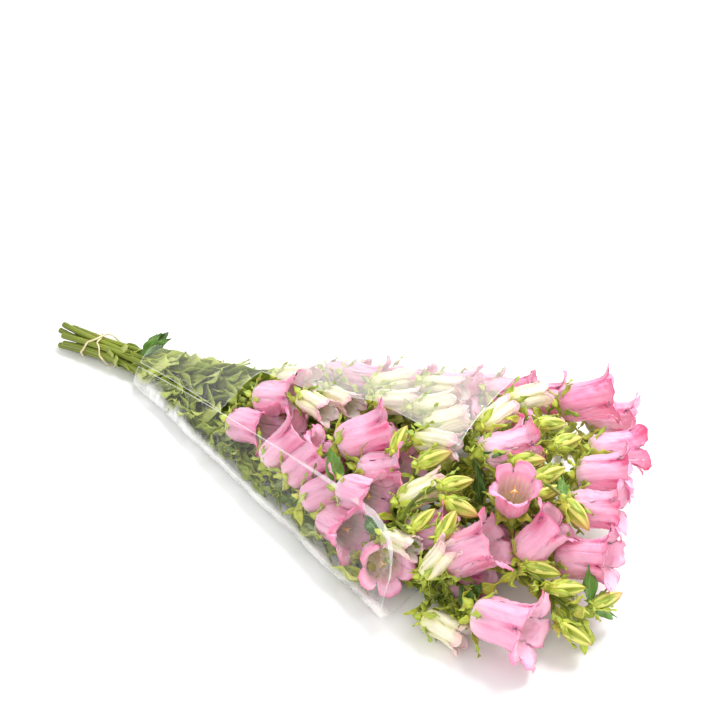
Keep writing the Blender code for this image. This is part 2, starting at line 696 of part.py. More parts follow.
def bridge(first, second):
    """Triangles between two closed rows of points that start at the same turn and differ in number."""
    i = j = 0
    faces = []
    while i < len(first) or j < len(second):
        first_is_next = i < len(first) and (i + 0.5) / len(first) <= (j + 0.5) / len(second)
        if j == len(second) or first_is_next:
            faces.append((first[i % len(first)], first[(i + 1) % len(first)], second[j % len(second)]))
            i += 1
        else:
            faces.append((first[i % len(first)], second[(j + 1) % len(second)], second[j % len(second)]))
            j += 1
    return faces


def sprig_solid(index, base, tip, stalk):
    """A stalk and what it carries of the stem's green, calyx or whole bud, in one skin."""
    _, stage, _, _, _, size = FLOWERS[index]
    local, faces = bud_rings() if stage == "bud" else calyx_star(*CALYX[stage])
    verts = in_place(local, base, tip, ROLLS[index], size)
    side = cross_frame(unit(tip - base), ROLLS[index])[0]
    last = list(range(COLUMNS))
    centres = stalk[::-2]
    for centre, back in zip(centres, np.gradient(centres, axis=0)):
        way = -unit(back)
        side = unit(side - way * (side @ way))
        other = np.cross(way, side)
        row = []
        for j in range(STALK_SIDES):
            a = 2 * math.pi * j / STALK_SIDES
            row.append(len(verts))
            verts.append(centre + (side * math.cos(a) + other * math.sin(a)) * STALK_RADIUS * 1.2)
        faces += bridge(row, last)
        last = row
    faces.append(tuple(reversed(last)))
    return verts, faces


def flower_solid(index, base, tip):
    """The coloured part of a flower."""
    _, stage, _, _, _, size = FLOWERS[index]
    local, faces = bell_rings() if stage == "bell" else half_open_rings()
    return in_place(local, base, tip, ROLLS[index], size), faces


def band_solid():
    """An elastic band wound twice round the bundle as one closed loop."""
    centres = [np.array(bundle_place(row, place)) for _, (row, place), _ in STEMS.values()]
    points = []
    for i in range(BAND_STATIONS):
        t = 4 * math.pi * i / BAND_STATIONS
        way = np.array([math.sin(t), -math.cos(t)])
        outermost = max(centres, key=lambda centre: float(centre @ way))
        off = STEM_RADIUS + FIT_GAP + BAND_RADIUS + BAND_CROSSING * (1 + math.sin(t / 2)) / 2
        points.append((BAND_MIDDLE + BAND_SWING * math.cos(t / 2), *(outermost + way * off)))
    points = np.array(points)
    verts, faces = [], []
    for i in range(BAND_STATIONS):
        k = (i + 1) % BAND_STATIONS
        way = unit(points[k] - points[i - 1])
        side = unit(np.cross(way, (1.0, 0.0, 0.0)))
        other = np.cross(way, side)
        for j in range(4):
            a = math.pi / 2 * (j + 0.5)
            verts.append(points[i] + (side * math.cos(a) + other * math.sin(a)) * BAND_RADIUS)
            m = (j + 1) % 4
            faces.append((4 * i + j, 4 * i + m, 4 * k + m, 4 * k + j))
    return verts, faces


def wrap_section(along):
    """The wrap's outline at one place, from the near flap's edge round below to the far flap's edge."""
    width, height, fold = wrap_size(along)
    near, far = wrap_edges(along)
    outline = []
    for share in np.linspace(near, -0.97, NEAR_FLAP_STEPS, endpoint=False):
        outline.append((share, wrap_top(-share, height, fold)))
    for turn in np.linspace(0, math.pi, FLOOR_STEPS, endpoint=False):
        share = -math.cos(turn)
        outline.append((share, wrap_bottom(abs(share), fold)))
    for t in np.linspace(0, 1, FAR_FLAP_STEPS + 1):
        share = math.cos(math.acos(far) * t**1.1)
        outline.append((share, wrap_top(abs(share), height, fold)))
    return [(along, share * width, up) for share, up in outline]


def wrap_solid():
    """The film: one thin sheet rolled into a cone, its two faces split alike."""
    grid = np.array([wrap_section(along) for along in WRAP_STATIONS], float)
    down, over = np.gradient(grid, axis=0), np.gradient(grid, axis=1)
    inward = np.cross(down, over)
    inward /= np.linalg.norm(inward, axis=2, keepdims=True)
    rows, columns = grid.shape[:2]
    verts = list(grid.reshape(-1, 3)) + list((grid + inward * WRAP_WALL).reshape(-1, 3))
    inner = rows * columns
    faces = []
    for i in range(rows - 1):
        for j in range(columns - 1):
            a, b = i * columns + j, i * columns + j + 1
            c, d = b + columns, a + columns
            faces += [(a, b, c), (a, c, d)]
            faces += [(a + inner, c + inner, b + inner), (a + inner, d + inner, c + inner)]
    rim = list(range(columns))
    rim += [i * columns + columns - 1 for i in range(1, rows)]
    rim += [(rows - 1) * columns + j for j in range(columns - 2, -1, -1)]
    rim += [i * columns for i in range(rows - 2, 0, -1)]
    for a, b in zip(rim, rim[1:] + rim[:1]):
        faces.append((b, a, a + inner, b + inner))
    return verts, faces


# Blender objects


def material(name, colour, roughness, alpha=1.0, transmission=0.0):
    made = bpy.data.materials.new(name)
    made.use_nodes = True
    shader = made.node_tree.nodes["Principled BSDF"]
    shader.inputs["Base Color"].default_value = (*colour, 1.0)
    shader.inputs["Roughness"].default_value = roughness
    shader.inputs["Metallic"].default_value = 0.0
    shader.inputs["Alpha"].default_value = alpha
    shader.inputs["Transmission Weight"].default_value = transmission
    return made


def add_object(name, solid, finish):
    verts, faces = solid
    origin = np.array([ORIGIN_ALONG, 0.0, 0.0])
    mesh = bpy.data.meshes.new(name)
    mesh.from_pydata([tuple((vert - origin) * CM) for vert in np.array(verts, float)], [], faces)
    mesh.shade_smooth()
    mesh.set_sharp_from_angle(angle=SHARP_ANGLE)
    mesh.materials.append(finish)
    made = bpy.data.objects.new(name, mesh)
    bpy.context.scene.collection.objects.link(made)
    return made


def drop_scraps(mesh):
    """Keep the mesh's largest connected piece alone."""
    shape = bmesh.new()
    shape.from_mesh(mesh)
    left, pieces = set(shape.verts), []
    while left:
        piece, edge = set(), [left.pop()]
        while edge:
            vert = edge.pop()
            piece.add(vert)
            near = {e.other_vert(vert) for e in vert.link_edges} & left
            left -= near
            edge += near
        pieces.append(piece)
    pieces.sort(key=len)
    scraps = [vert for piece in pieces[:-1] for vert in piece]
    bmesh.ops.delete(shape, geom=scraps, context="VERTS")
    shape.to_mesh(mesh)
    shape.free()


def fuse(target, extras):
    """One Boolean union of the target with everything that grows from it, applied."""
    group = bpy.data.collections.new("growing")
    bpy.context.scene.collection.children.link(group)
    for extra in extras:
        bpy.context.scene.collection.objects.unlink(extra)
        group.objects.link(extra)
    union = target.modifiers.new("union", "BOOLEAN")
    union.operation = "UNION"
    union.operand_type = "COLLECTION"
    union.collection = group
    union.solver = "EXACT"
    evaluated = target.evaluated_get(bpy.context.evaluated_depsgraph_get())
    fused = bpy.data.meshes.new_from_object(evaluated)
    target.modifiers.remove(union)
    drop_scraps(fused)
    target.data = fused
    for extra in extras:
        bpy.data.objects.remove(extra)
    bpy.data.collections.remove(group)


def main():
    for old in list(bpy.data.objects):
        bpy.data.objects.remove(old)
    paths, base, tip, stalks, leaves = lay_out()
    green = material("stem green", (0.20, 0.36, 0.08), 0.55)
    pink = material("petal pink", (0.83, 0.30, 0.52), 0.50)
    cream = material("petal cream", (0.86, 0.85, 0.62), 0.50)
    film = material("clear film", (0.95, 0.96, 0.96), 0.12, alpha=0.3, transmission=0.9)
    rubber = material("band rubber", (0.78, 0.66, 0.44), 0.70)
    for name, path in paths.items():
        stem = add_object("stem_" + name, stem_solid(path), green)
        growing = [leaf_solid(leaf) for leaf in leaves[name]]
        for i, flower in enumerate(FLOWERS):
            if flower[0] == name:
                growing.append(sprig_solid(i, base[i], tip[i], stalks[i]))
        fuse(stem, [add_object("growing part", solid, green) for solid in growing])
    counts = {"bell": 0, "half_open": 0}
    for i, flower in enumerate(FLOWERS):
        stage = flower[1]
        if stage != "bud":
            counts[stage] += 1
            name = f"{stage}_{counts[stage]:02d}"
            add_object(name, flower_solid(i, base[i], tip[i]), pink if stage == "bell" else cream)
    add_object("wrap", wrap_solid(), film)
    add_object("band", band_solid(), rubber)


main()
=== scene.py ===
"""The looks of a tied, film-wrapped bunch of cut Canterbury bells, Campanula medium, lying on its side.

The bunch's own lengths are in centimetres: "along" counts from the cut ends towards the flowers, "across" is
positive on the side away from the camera, and "up" is the height above the surface. The layout comes first
and gives every stem, flower, stalk and large leaf the place that it has in the model.
"""

import math
import random

import bpy
import numpy as np
from mathutils import Matrix, Vector


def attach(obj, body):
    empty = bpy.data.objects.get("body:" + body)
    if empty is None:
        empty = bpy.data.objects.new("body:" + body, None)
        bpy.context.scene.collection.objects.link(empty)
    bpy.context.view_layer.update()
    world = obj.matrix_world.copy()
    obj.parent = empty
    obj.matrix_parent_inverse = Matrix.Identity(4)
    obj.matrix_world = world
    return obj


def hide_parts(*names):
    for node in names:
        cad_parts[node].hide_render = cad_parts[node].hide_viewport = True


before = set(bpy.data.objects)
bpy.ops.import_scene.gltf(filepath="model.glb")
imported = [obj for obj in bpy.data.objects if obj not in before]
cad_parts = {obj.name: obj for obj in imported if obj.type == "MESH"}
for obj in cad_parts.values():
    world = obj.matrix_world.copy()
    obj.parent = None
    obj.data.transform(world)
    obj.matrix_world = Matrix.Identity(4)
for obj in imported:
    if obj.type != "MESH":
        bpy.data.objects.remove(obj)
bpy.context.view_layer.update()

CM = 0.01
ORIGIN_ALONG = 31.0  # the model's origin lies under the middle of the wrap

# Stems
STEM_RADIUS, STEM_TIP_RADIUS = 0.30, 0.14
STEM_RIBS = 8
STEM_PITCH, ROW_RISE = 0.66, 0.58  # between neighbours, and between rows, where the band holds them
FIRST_ROW_UP = 0.66
BAND_ZONE_END = 9.0  # the stems run parallel up to here

# Flowers: length and body radius
BELL_LENGTH, BELL_RADIUS = 4.8, 1.60
HALF_OPEN_LENGTH, HALF_OPEN_RADIUS = 4.0, 1.02
BUD_LENGTH, BUD_RADIUS = 2.9, 0.56
LENGTHS = {"bell": BELL_LENGTH, "half_open": HALF_OPEN_LENGTH, "bud": BUD_LENGTH}
LOBES = 5  # of every flower, and as many sepals and flaps

# Flower stalks
STALK_RADIUS = 0.15
STALK_STEPS = 6
FIRST_STALK = 12.0  # no stalk leaves its stem nearer to its cut end

# Leaves. Shares along a leaf, and its half width there as a share of the greatest
LEAF_STATIONS = (0.0, 0.24, 0.52, 0.80, 1.0)
LEAF_HALF_WIDTHS = (0.0, 0.62, 1.0, 0.66, 0.0)
LEAF_LONGEST, LEAF_SHORTEST = 6.2, 3.2
LEAF_WIDEST, LEAF_NARROWEST = 2.5, 1.15
LEAF_HALF_RIB = 0.06
LEAF_CURL = 0.16  # how far the tip bends back, as a share of the length
LEAF_CUP = 0.22  # how far the edges rise above the midrib, as a share of the half width
LEAF_WAVE = 0.07
LEAF_SPACING = 3.6
LEAF_TRIES = 14
LEAF_ROOM = 0.25  # kept between a leaf and its neighbours
FIRST_LEAF = 10.2
GOLDEN_TURN = 2.4
LEAF_SEED = 23

# Wrap: a cone of film, flat where it lies, with its two flaps left apart on top
WRAP_START, WRAP_END = 12.0, 48.5
WRAP_WALL = 0.07
WRAP_START_HALF_WIDTH, WRAP_SPREAD = 3.0, 0.40
WRAP_START_HEIGHT, WRAP_RISE = 3.6, 0.215
WRAP_START_FOLD, WRAP_FOLD_RISE = 0.9, 0.02  # height of the folds at its two sides
WRAP_ROUND = 0.85
FLAT_SHARE = 0.62  # of the half width lies flat on the surface
FAR = 9.0  # a distance that counts as far away
# Where each flap ends in the model: places along the bunch, and shares of the wrap's half width
NEAR_EDGE = ([12, 15.8, 24.5, 44, 47, 48.5], [-0.68, -0.75, -0.775, -0.80, -0.84, -0.93])
FAR_EDGE = ([12, 24.5, 25.9, 31.5, 37.5, 42, 48.5], [-0.60, -0.69, -0.09, -0.05, 0.0, -0.13, -0.35])

# Elastic band, wound twice round
BAND_RADIUS = 0.085
BAND_MIDDLE, BAND_SWING = 5.3, 1.7
BAND_CROSSING = 0.21  # how much further out the upper strand runs where the two cross

# Settling the flowers among each other
SETTLE_STEPS = 240
ROOM = 0.20  # kept between neighbours
WRAP_MARGIN = 0.12  # kept to the wrap on top of that, for its flat facets
STEP = 0.30  # share of an overlap that one step clears
TETHER = 0.02  # pull back towards the place in the table
ROLL_SEED = 11

# Balls that stand for a flower of size 1: distance from its base, distance from its axis, radius
LOBE_BALL = (4.55, 1.9, 0.44)
BALLS = {
    "bell": [(0.5, 0, 1.10), (1.6, 0, 1.62), (2.9, 0, 1.68), (3.9, 0, 1.88)] + [LOBE_BALL] * LOBES,
    "half_open": [(0.4, 0, 0.85), (1.4, 0, 1.20), (2.6, 0, 1.12), (3.55, 0, 1.20)],
    "bud": [(0.2, 0, 0.55), (1.0, 0, 0.74), (2.0, 0, 0.55)],
}

# Fineness and thickness of the visible pieces
TUBE_ROWS_SHARE = 0.58  # of a petal's rows lie in the bell, and the rest in its lobes
PETAL_THICKNESS, LEAF_THICKNESS, FILM_THICKNESS = 0.026, 0.05, 0.02
FILM_ROWS, NEAR_COLUMNS, FLOOR_COLUMNS, FAR_COLUMNS = 116, 18, 20, 42
BAND_POINTS, BAND_THREAD = 90, 0.085
WELD = 0.0004  # points that are nearer to each other are joined
FLOOR_GAP = 0.0003  # in metres, between the surface and the lowest points

# By places along the bunch: where the film's flaps end in the photograph, and how far the near one is lifted
NEAR_FREE_EDGE = (
    [12, 22, 30, 42, 45, 47, 48, 48.5],
    [-0.68, -0.69, -0.71, -0.73, -0.745, -0.78, -0.83, -0.89],
)
FAR_FREE_EDGE = ([12, 24.5, 26.2, 32, 39, 42, 48.5], [-0.60, -0.69, -0.17, -0.24, -0.22, -0.27, -0.36])
NEAR_FLAP_LIFT = ([19, 26, 33, 40], [0.0, 0.9, 0.9, 0.6])

# Leaves that are only in the scene
EXTRA_FIRST, LOW_LEAVES_END, YOUNG_LEAVES_START = 6.5, 27.0, 42.0  # places along the bunch
EXTRA_SPACING = ([10, 26, 28, 43, 46], [1.15, 1.15, 0.55, 0.55, 0.36])  # by places along the bunch
EXTRA_LENGTH, LOW_LEAF_LENGTH = (1.6, 3.6), (3.6, 5.8)  # from the shortest to the longest
SHORT_LEAVES_END, SHORT_SHARE = 10, 0.35  # low leaves are short up to here, and this share of their length
EXTRA_TRIES, EXTRA_SEED = 14, 5
BRACT_PLACES, BRACT_TRIES = (0.3, 0.55, 0.8), 6  # shares of a flower's stalk
SHOOT_PLACES = (15.0, 47.0, 1.3)  # the first and the end along the bunch, and the step

# Shapes for the blade rule
LARGE_LEAF_SHAPE = dict(
    Rows=20, Columns=7, Teeth=9.0, Tooth=0.11, Curl=LEAF_CURL, Cup=LEAF_CUP, Wave=LEAF_WAVE,
)
BROAD_LEAF_SHAPE = dict(
    Rows=20, Columns=7, Widest=0.4, Teeth=9.0, Tooth=0.15, Curl=0.10, Cup=0.12, Wave=0.035,
)
SMALL_LEAF_SHAPE = dict(Rows=10, Columns=5, Curl=0.07, Cup=0.25, Wave=0.09)
DARK_LEAF_SHAPE = dict(Rows=16, Columns=7, Teeth=7.0, Tooth=0.14, Curl=0.12, Cup=0.22, Wave=0.13)
SEPAL_SHAPE = dict(Rows=11, Columns=5, Widest=0.28, Point=1.2, Curl=-0.09, Cup=0.30, Wave=0.07, Quilt=0.03)
FLAP_SHAPE = dict(Rows=8, Columns=5, Widest=0.35, Point=1.0, Curl=0.10, Cup=-0.15, Wave=0.08, Quilt=0.04)

# Dark leaves that stand out in the photograph: root, tip and width
DARK_LEAVES = [
    ((11.0, 0.7, 2.1), (11.9, 2.6, 3.8), 1.2), ((11.1, 0.2, 2.1), (12.0, 1.4, 4.3), 1.1),
    ((10.7, 0.9, 2.0), (10.8, 2.3, 3.5), 1.0), ((11.2, 0.6, 2.2), (12.6, 2.0, 3.6), 1.0),
    ((10.8, 0.4, 2.2), (11.2, 1.6, 3.3), 1.0), ((39.8, -10.4, 5.4), (38.3, -8.7, 7.6), 1.5),
    ((49.6, -6.6, 5.6), (49.7, -5.4, 8.5), 0.9), ((49.2, -4.6, 8.4), (51.3, -4.4, 9.4), 0.6),
    ((56.3, -6.0, 7.6), (56.1, -3.9, 9.0), 0.9), ((60.4, -8.6, 2.2), (60.3, -7.7, 5.7), 1.0),
    ((61.6, -9.6, 2.2), (63.0, -7.8, 1.2), 0.9), ((54.3, -14.6, 2.6), (52.6, -13.0, 3.6), 1.3),
    ((45.8, -13.4, 4.6), (43.6, -12.3, 5.6), 1.2), ((53.3, -11.0, 2.2), (54.0, -12.6, 3.8), 1.0),
]
# How far some bells turn their mouths towards the camera, by their number in the table of flowers
TO_CAMERA = (0.4446, -0.7112, 0.5446)
MOUTHS = {
    0: 0.1, 1: 0.35, 2: 0.3, 3: 1.6, 5: 0.42, 6: 0.3, 7: 0.3, 10: 0.25, 12: 0.3, 13: 0.35, 14: 0.4, 15: 0.4,
    22: 0.35, 38: 0.3, 39: 0.3, 43: 0.35, 50: 0.25, 56: 0.2,
}

# Each stem: where it is cut, its row and place in the tied bundle, and the points that it passes, to its tip
STEMS = {
    "01": (0.4, (0, -1.0), [(24, -4.0, 0.42), (36, -8.6, 0.55), (46, -11.6, 0.7), (54, -13.4, 1.0)]),
    "02": (1.3, (1, -1.5), [(24, -3.9, 1.3), (36, -7.9, 1.7), (46, -10.8, 2.0), (54, -12.8, 2.8)]),
    "03": (0.0, (1, -0.5),
           [(24, -2.5, 1.4), (36, -5.8, 2), (46, -8.3, 2.7), (56, -9.9, 3.7), (61.5, -10.6, 2.5)]),
    "04": (2.0, (0, 0.0), [(24, -1.5, 0.42), (36, -3.9, 0.7), (46, -6.0, 1.2), (54, -7.4, 2.2)]),
    "05": (0.9, (2, -1.0), [(24, -1.9, 2.5), (36, -3.5, 3.1), (46, -5.0, 3.8), (55.5, -6.3, 4.5)]),
    "06": (0.2, (2, 0.0), [(24, -0.5, 2.4), (36, -0.9, 3.1), (46, -2.1, 4.0), (56.5, -3.4, 4.6)]),
    "07": (1.7, (0, 1.0), [(24, 0.8, 0.42), (36, 0.6, 0.9), (46, 0.3, 1.6), (56, -0.9, 2.6)]),
    "08": (0.7, (2, 1.0), [(24, 1.1, 2.3), (36, 1.9, 3.1), (46, 2.0, 4.0), (56, 1.6, 4.6)]),
    "09": (1.5, (1, 0.5), [(24, 2.6, 1.4), (36, 4.8, 2.0), (46, 6.0, 2.6), (54, 6.6, 3.4)]),
    "10": (1.0, (1, 1.5), [(24, 4.0, 0.55), (36, 7.6, 0.6), (46, 10.2, 0.8), (54, 11.2, 1.4)]),
}

# Each flower: its stem, its stage, where its base is, its heading and pitch in degrees, and its size.
# A heading of 0 is along the bunch, towards the flowers
FLOWERS = [
    ("01", "bell", (26.6, -5.9, 2.4), 28, 12, 0.92),
    ("01", "bell", (36.8, -10.8, 2.3), 62, 24, 0.84),
    ("01", "bell", (39.9, -12.0, 2.0), 2, 6, 0.90),
    ("01", "bell", (43.2, -11.9, 1.8), -52, 28, 0.84),
    ("01", "half_open", (51.2, -15.6, 1.6), 4, -2, 0.90),
    ("01", "bell", (54.8, -14.9, 2.3), 24, 0, 1.0),
    ("02", "bell", (33.8, -8.7, 2.9), 38, 26, 0.92),
    ("02", "bell", (38.8, -10.4, 3.8), -8, 12, 0.84),
    ("02", "half_open", (45.8, -13.2, 4.0), -10, 12, 0.80),
    ("02", "half_open", (50.4, -14.2, 4.4), 60, 30, 0.80),
    ("02", "bell", (51.0, -11.3, 5.3), 36, 6, 0.98),
    ("02", "bell", (50.4, -13.2, 2.3), 38, 4, 0.78),
    ("03", "bell", (31.4, -7.3, 3.2), 42, 24, 0.95),
    ("03", "bell", (40.9, -9.1, 4.7), 35, 26, 1.0),
    ("03", "bell", (47.2, -11.8, 4.8), 30, 16, 0.82),
    ("03", "bell", (54.4, -9.2, 5.2), 50, 14, 0.86),
    ("02", "bud", (48.2, -12.7, 6.2), 66, 34, 0.8),
    ("03", "bud", (56.6, -10.3, 5.0), 10, -8, 0.9),
    ("03", "bud", (58.2, -10.4, 3.9), 24, 2, 0.95),
    ("03", "bud", (59.8, -12.3, 2.5), 2, -8, 0.95),
    ("03", "bud", (61.6, -9.6, 3.2), 50, 14, 0.85),
    ("04", "bell", (26.9, -3.6, 4.0), 34, 22, 0.92),
    ("04", "bell", (37.5, -6.6, 5.4), 56, 24, 1.0),
    ("04", "bud", (50.4, -12.2, 6.4), 86, 32, 0.9),
    ("05", "half_open", (31.8, -3.6, 5.8), -10, 10, 0.95),
    ("03", "half_open", (45.8, -10.2, 6.2), 38, 28, 1.0),
    ("05", "half_open", (43.6, -5.6, 7.8), 10, 14, 0.92),
    ("05", "bell", (53.6, -7.2, 6.4), -60, 66, 0.95),
    ("05", "bud", (43.3, -6.9, 8.0), 82, 30, 0.85),
    ("05", "bud", (46.2, -7.7, 8.0), 46, 22, 1.0),
    ("03", "bud", (48.4, -9.1, 8.0), 42, 10, 0.9),
    ("03", "bud", (49.2, -9.9, 7.4), 4, -8, 1.0),
    ("05", "bud", (56.2, -6.4, 7.2), -4, -16, 1.0),
    ("06", "half_open", (27.3, -1.2, 4.9), 4, 12, 0.95),
    ("06", "half_open", (32.9, -1.5, 6.4), -12, 8, 0.95),
    ("06", "half_open", (38.3, -1.7, 7.5), 32, 8, 1.0),
    ("06", "half_open", (44.7, -3.8, 8.6), 36, 14, 0.95),
    ("06", "bell", (49.2, -3.8, 8.6), 62, 0, 0.92),
    ("06", "bell", (57.0, -7.0, 5.0), 24, -2, 0.94),
    ("06", "bell", (57.0, -4.3, 6.4), 32, 4, 0.88),
    ("06", "bud", (52.3, -4.2, 8.8), 34, -4, 0.9),
    ("06", "bud", (54.1, -4.6, 8.0), 62, 6, 1.05),
    ("07", "half_open", (47.5, -2.3, 9.2), 60, 6, 0.88),
    ("07", "bell", (56.2, -1.2, 7.1), 34, 2, 0.88),
    ("07", "bell", (50.5, -4.2, 2.2), -20, 0, 0.92),
    ("07", "bud", (54.4, -5.4, 7.6), 50, 4, 0.9),
    ("08", "bell", (32.0, 3.3, 5.4), 14, 8, 0.85),
    ("08", "half_open", (36.1, 1.2, 7.0), 46, 0, 1.0),
    ("08", "half_open", (40.5, 1.6, 8.1), 12, 10, 1.0),
    ("08", "half_open", (41.8, -1.6, 8.4), 26, 12, 0.90),
    ("08", "bell", (56.0, 2.2, 7.0), 52, -4, 0.88),
    ("08", "bud", (51.8, 0.4, 9.0), 56, -8, 1.0),
    ("08", "bud", (53.8, -0.4, 8.6), 66, -8, 1.1),
    ("09", "bell", (40.2, 4.6, 6.4), 26, 4, 0.92),
    ("09", "bell", (43.9, 7.2, 5.6), 22, 4, 0.92),
    ("09", "half_open", (48.4, 2.1, 9.2), 60, -2, 0.95),
    ("09", "bell", (51.2, 6.9, 7.2), 38, 10, 1.0),
    ("10", "bell", (28.0, 6.6, 2.8), 18, 6, 0.86),
    ("10", "bell", (33.4, 9.0, 3.0), 20, 6, 0.86),
    ("10", "bell", (39.4, 11.0, 3.0), 24, 6, 0.90),
    ("10", "bell", (45.0, 12.4, 2.6), 22, 4, 0.92),
    ("10", "bell", (51.5, 13.0, 2.6), 12, 6, 0.95),
]

TURNS = random.Random(ROLL_SEED)
ROLLS = [TURNS.uniform(0, 2 * math.pi) for _ in FLOWERS]


# Small geometry


def unit(v):
    """A vector's direction."""
    return v / np.linalg.norm(v)


def direction(heading, pitch):
    """The way that a heading and a pitch in degrees point."""
    h, p = math.radians(heading), math.radians(pitch)
    return np.array([math.cos(p) * math.cos(h), math.cos(p) * math.sin(h), math.sin(p)])


def cross_frame(axis, roll=0.0):
    """Two directions square to an axis and to each other, turned about it by roll."""
    side = unit(np.cross(axis, (0.0, 0.0, 1.0)) + 1e-9)
    other = np.cross(axis, side)
    first = side * math.cos(roll) + other * math.sin(roll)
    return first, np.cross(axis, first)


def outward(axis, angle, roll=0.0):
    """The way straight out from an axis, at this angle round it."""
    first, second = cross_frame(axis, roll)
    return first * math.cos(angle) + second * math.sin(angle)


def tilted(axis, out, lean):
    """A blade's way and face when it leans this far out from an axis."""
    return axis * math.cos(lean) + out * math.sin(lean), axis * math.sin(lean) - out * math.cos(lean)


def smooth(points, steps):
    """A smooth curve through the points, with this many steps between each two."""
    p = np.array(points, float)
    gap = np.linalg.norm(np.diff(p, axis=0), axis=1)
    at = np.concatenate([[0.0], np.cumsum(gap)])
    slope = np.gradient(p, at, axis=0)
    t = np.linspace(0, 1, steps, endpoint=False)[:, None]
    curve = []
    for i in range(len(p) - 1):
        leave, arrive = slope[i] * gap[i], slope[i + 1] * gap[i]
        curve.append(
            p[i] * (2 * t**3 - 3 * t**2 + 1)
            + leave * (t**3 - 2 * t**2 + t)
            + p[i + 1] * (3 * t**2 - 2 * t**3)
            + arrive * (t**3 - t**2)
        )
    return np.vstack(curve + [p[-1:]])


def curve_between(start, leave, arrive, end, steps):
    """A curve from start to end that two guide points pull out."""
    t = np.linspace(0, 1, steps + 1)[:, None]
    return start * (1 - t) ** 3 + leave * 3 * t * (1 - t) ** 2 + arrive * 3 * t**2 * (1 - t) + end * t**3


def runs(path):
    """The distance along a path of each of its points."""
    return np.concatenate([[0.0], np.cumsum(np.linalg.norm(np.diff(path, axis=0), axis=1))])


def on_path(path, distances):
    """Points on a path at these distances from its start."""
    run = runs(path)
    return np.stack([np.interp(distances, run, path[:, k]) for k in range(3)], axis=-1)


def way_at(path, distance):
    """The way that a path runs at this distance from its start."""
    return unit(on_path(path, distance + 0.5) - on_path(path, distance - 0.5))


def filled(path, spacing):
    """Evenly spaced points on a path."""
    full = runs(path)[-1]
    return on_path(path, np.linspace(0, full, max(2, int(full / spacing))))


def bundle_place(row, place):
    """Where a stem lies across and up in the tied bundle."""
    return place * STEM_PITCH, FIRST_ROW_UP + row * ROW_RISE


def stem_path(name):
    """A stem's smooth path, straight as far as the band's zone reaches."""
    cut, (row, place), passes = STEMS[name]
    across, up = bundle_place(row, place)
    tied = [(cut, across, up), (BAND_ZONE_END * 0.55, across, up), (BAND_ZONE_END, across, up)]
    return smooth(tied + passes, 10)


# The wrap's section


def wrap_size(along):
    """Half width, height, and height of the side folds."""
    d = np.clip(along, WRAP_START, WRAP_END) - WRAP_START
    return (
        WRAP_START_HALF_WIDTH + WRAP_SPREAD * d,
        WRAP_START_HEIGHT + WRAP_RISE * d,
        WRAP_START_FOLD + WRAP_FOLD_RISE * d,
    )


def wrap_top(share, height, fold):
    """The film's height on top, at this share of its half width."""
    return fold + (height - fold) * (1 - np.minimum(share, 1.0) ** 2) ** WRAP_ROUND


def wrap_bottom(share, fold):
    """The film's height below, flat in the middle and raised towards its side folds."""
    return fold * (np.maximum(share - FLAT_SHARE, 0) / (1 - FLAT_SHARE)) ** 2


def wrap_edges(along):
    """Where the near flap and the far flap end, as shares of the half width."""
    return np.interp(along, *NEAR_EDGE), np.interp(along, *FAR_EDGE)


def slant(a, b):
    """The distance to a wall that is a away one way and b away square to it, below zero behind it."""
    behind = (a < 0) | (b < 0)
    a, b = np.maximum(np.abs(a), 1e-6), np.maximum(np.abs(b), 1e-6)
    distance = a * b / np.hypot(a, b)
    return np.where(behind, -distance, distance)


def wrap_room(points):
    """How far each point lies inside the wrap, or above the surface beyond its mouth."""
    along, across, up = points.T
    width, height, fold = wrap_size(along)
    share = np.abs(across) / width
    low = up - wrap_bottom(share, fold)
    high = wrap_top(share, height, fold) - up
    below = FLAT_SHARE + (1 - FLAT_SHARE) * np.sqrt(np.clip(up / fold, 0, 1))
    above = np.sqrt(1 - np.clip((up - fold) / (height - fold), 0, 1) ** (1 / WRAP_ROUND))
    side = np.where(up < fold, below, above) * width - np.abs(across)
    near, far = wrap_edges(along)
    covered = (across / width < near) | (across / width > far)
    to_edge = np.minimum(*[
        np.hypot(across - edge * width, up - wrap_top(np.abs(edge), height, fold)) for edge in (near, far)
    ])
    well_inside = high > 2.5
    roof = np.where(covered | well_inside, slant(high, side), to_edge)
    room = np.minimum(np.minimum(slant(low, side), low), roof)
    room = np.where(along < WRAP_START, FAR, room)
    past = along - WRAP_END
    beyond = np.minimum(np.hypot(past, np.maximum(room, 0)), up + WRAP_WALL)
    return np.where(past > 0, beyond, room) - WRAP_WALL


# Settling the flowers


def flower_balls():
    """The table's flowers as balls: whose it is, its place along and across the flower's axis, its radius."""
    owner, local, radius = [], [], []
    for i, (_, stage, _, _, _, size) in enumerate(FLOWERS):
        lobes = 0
        for along, off, r in BALLS[stage]:
            turn = 2 * math.pi * lobes / LOBES
            lobes += 1 if off else 0
            owner.append(i)
            local.append((along * size, off * size * math.cos(turn), off * size * math.sin(turn)))
            radius.append(r * size)
    return np.array(owner), np.array(local), np.array(radius)


def ball_places(base, tip, owner, local):
    """Where the flowers' balls are."""
    places = np.empty((len(owner), 3))
    for i in range(len(base)):
        axis = unit(tip[i] - base[i])
        mine = owner == i
        places[mine] = base[i] + local[mine] @ np.array([axis, *cross_frame(axis, ROLLS[i])])
    return places


def wall_push(balls, radius):
    """How the wrap and the surface below push each ball."""
    nudge = 0.05
    short = (radius + ROOM + WRAP_MARGIN - wrap_room(balls)).clip(0, 0.8)
    slope = [wrap_room(balls + nudge * e) - wrap_room(balls - nudge * e) for e in np.eye(3)]
    slope = np.stack(slope, axis=1)
    return slope / (np.linalg.norm(slope, axis=1, keepdims=True) + 1e-9) * short[:, None]


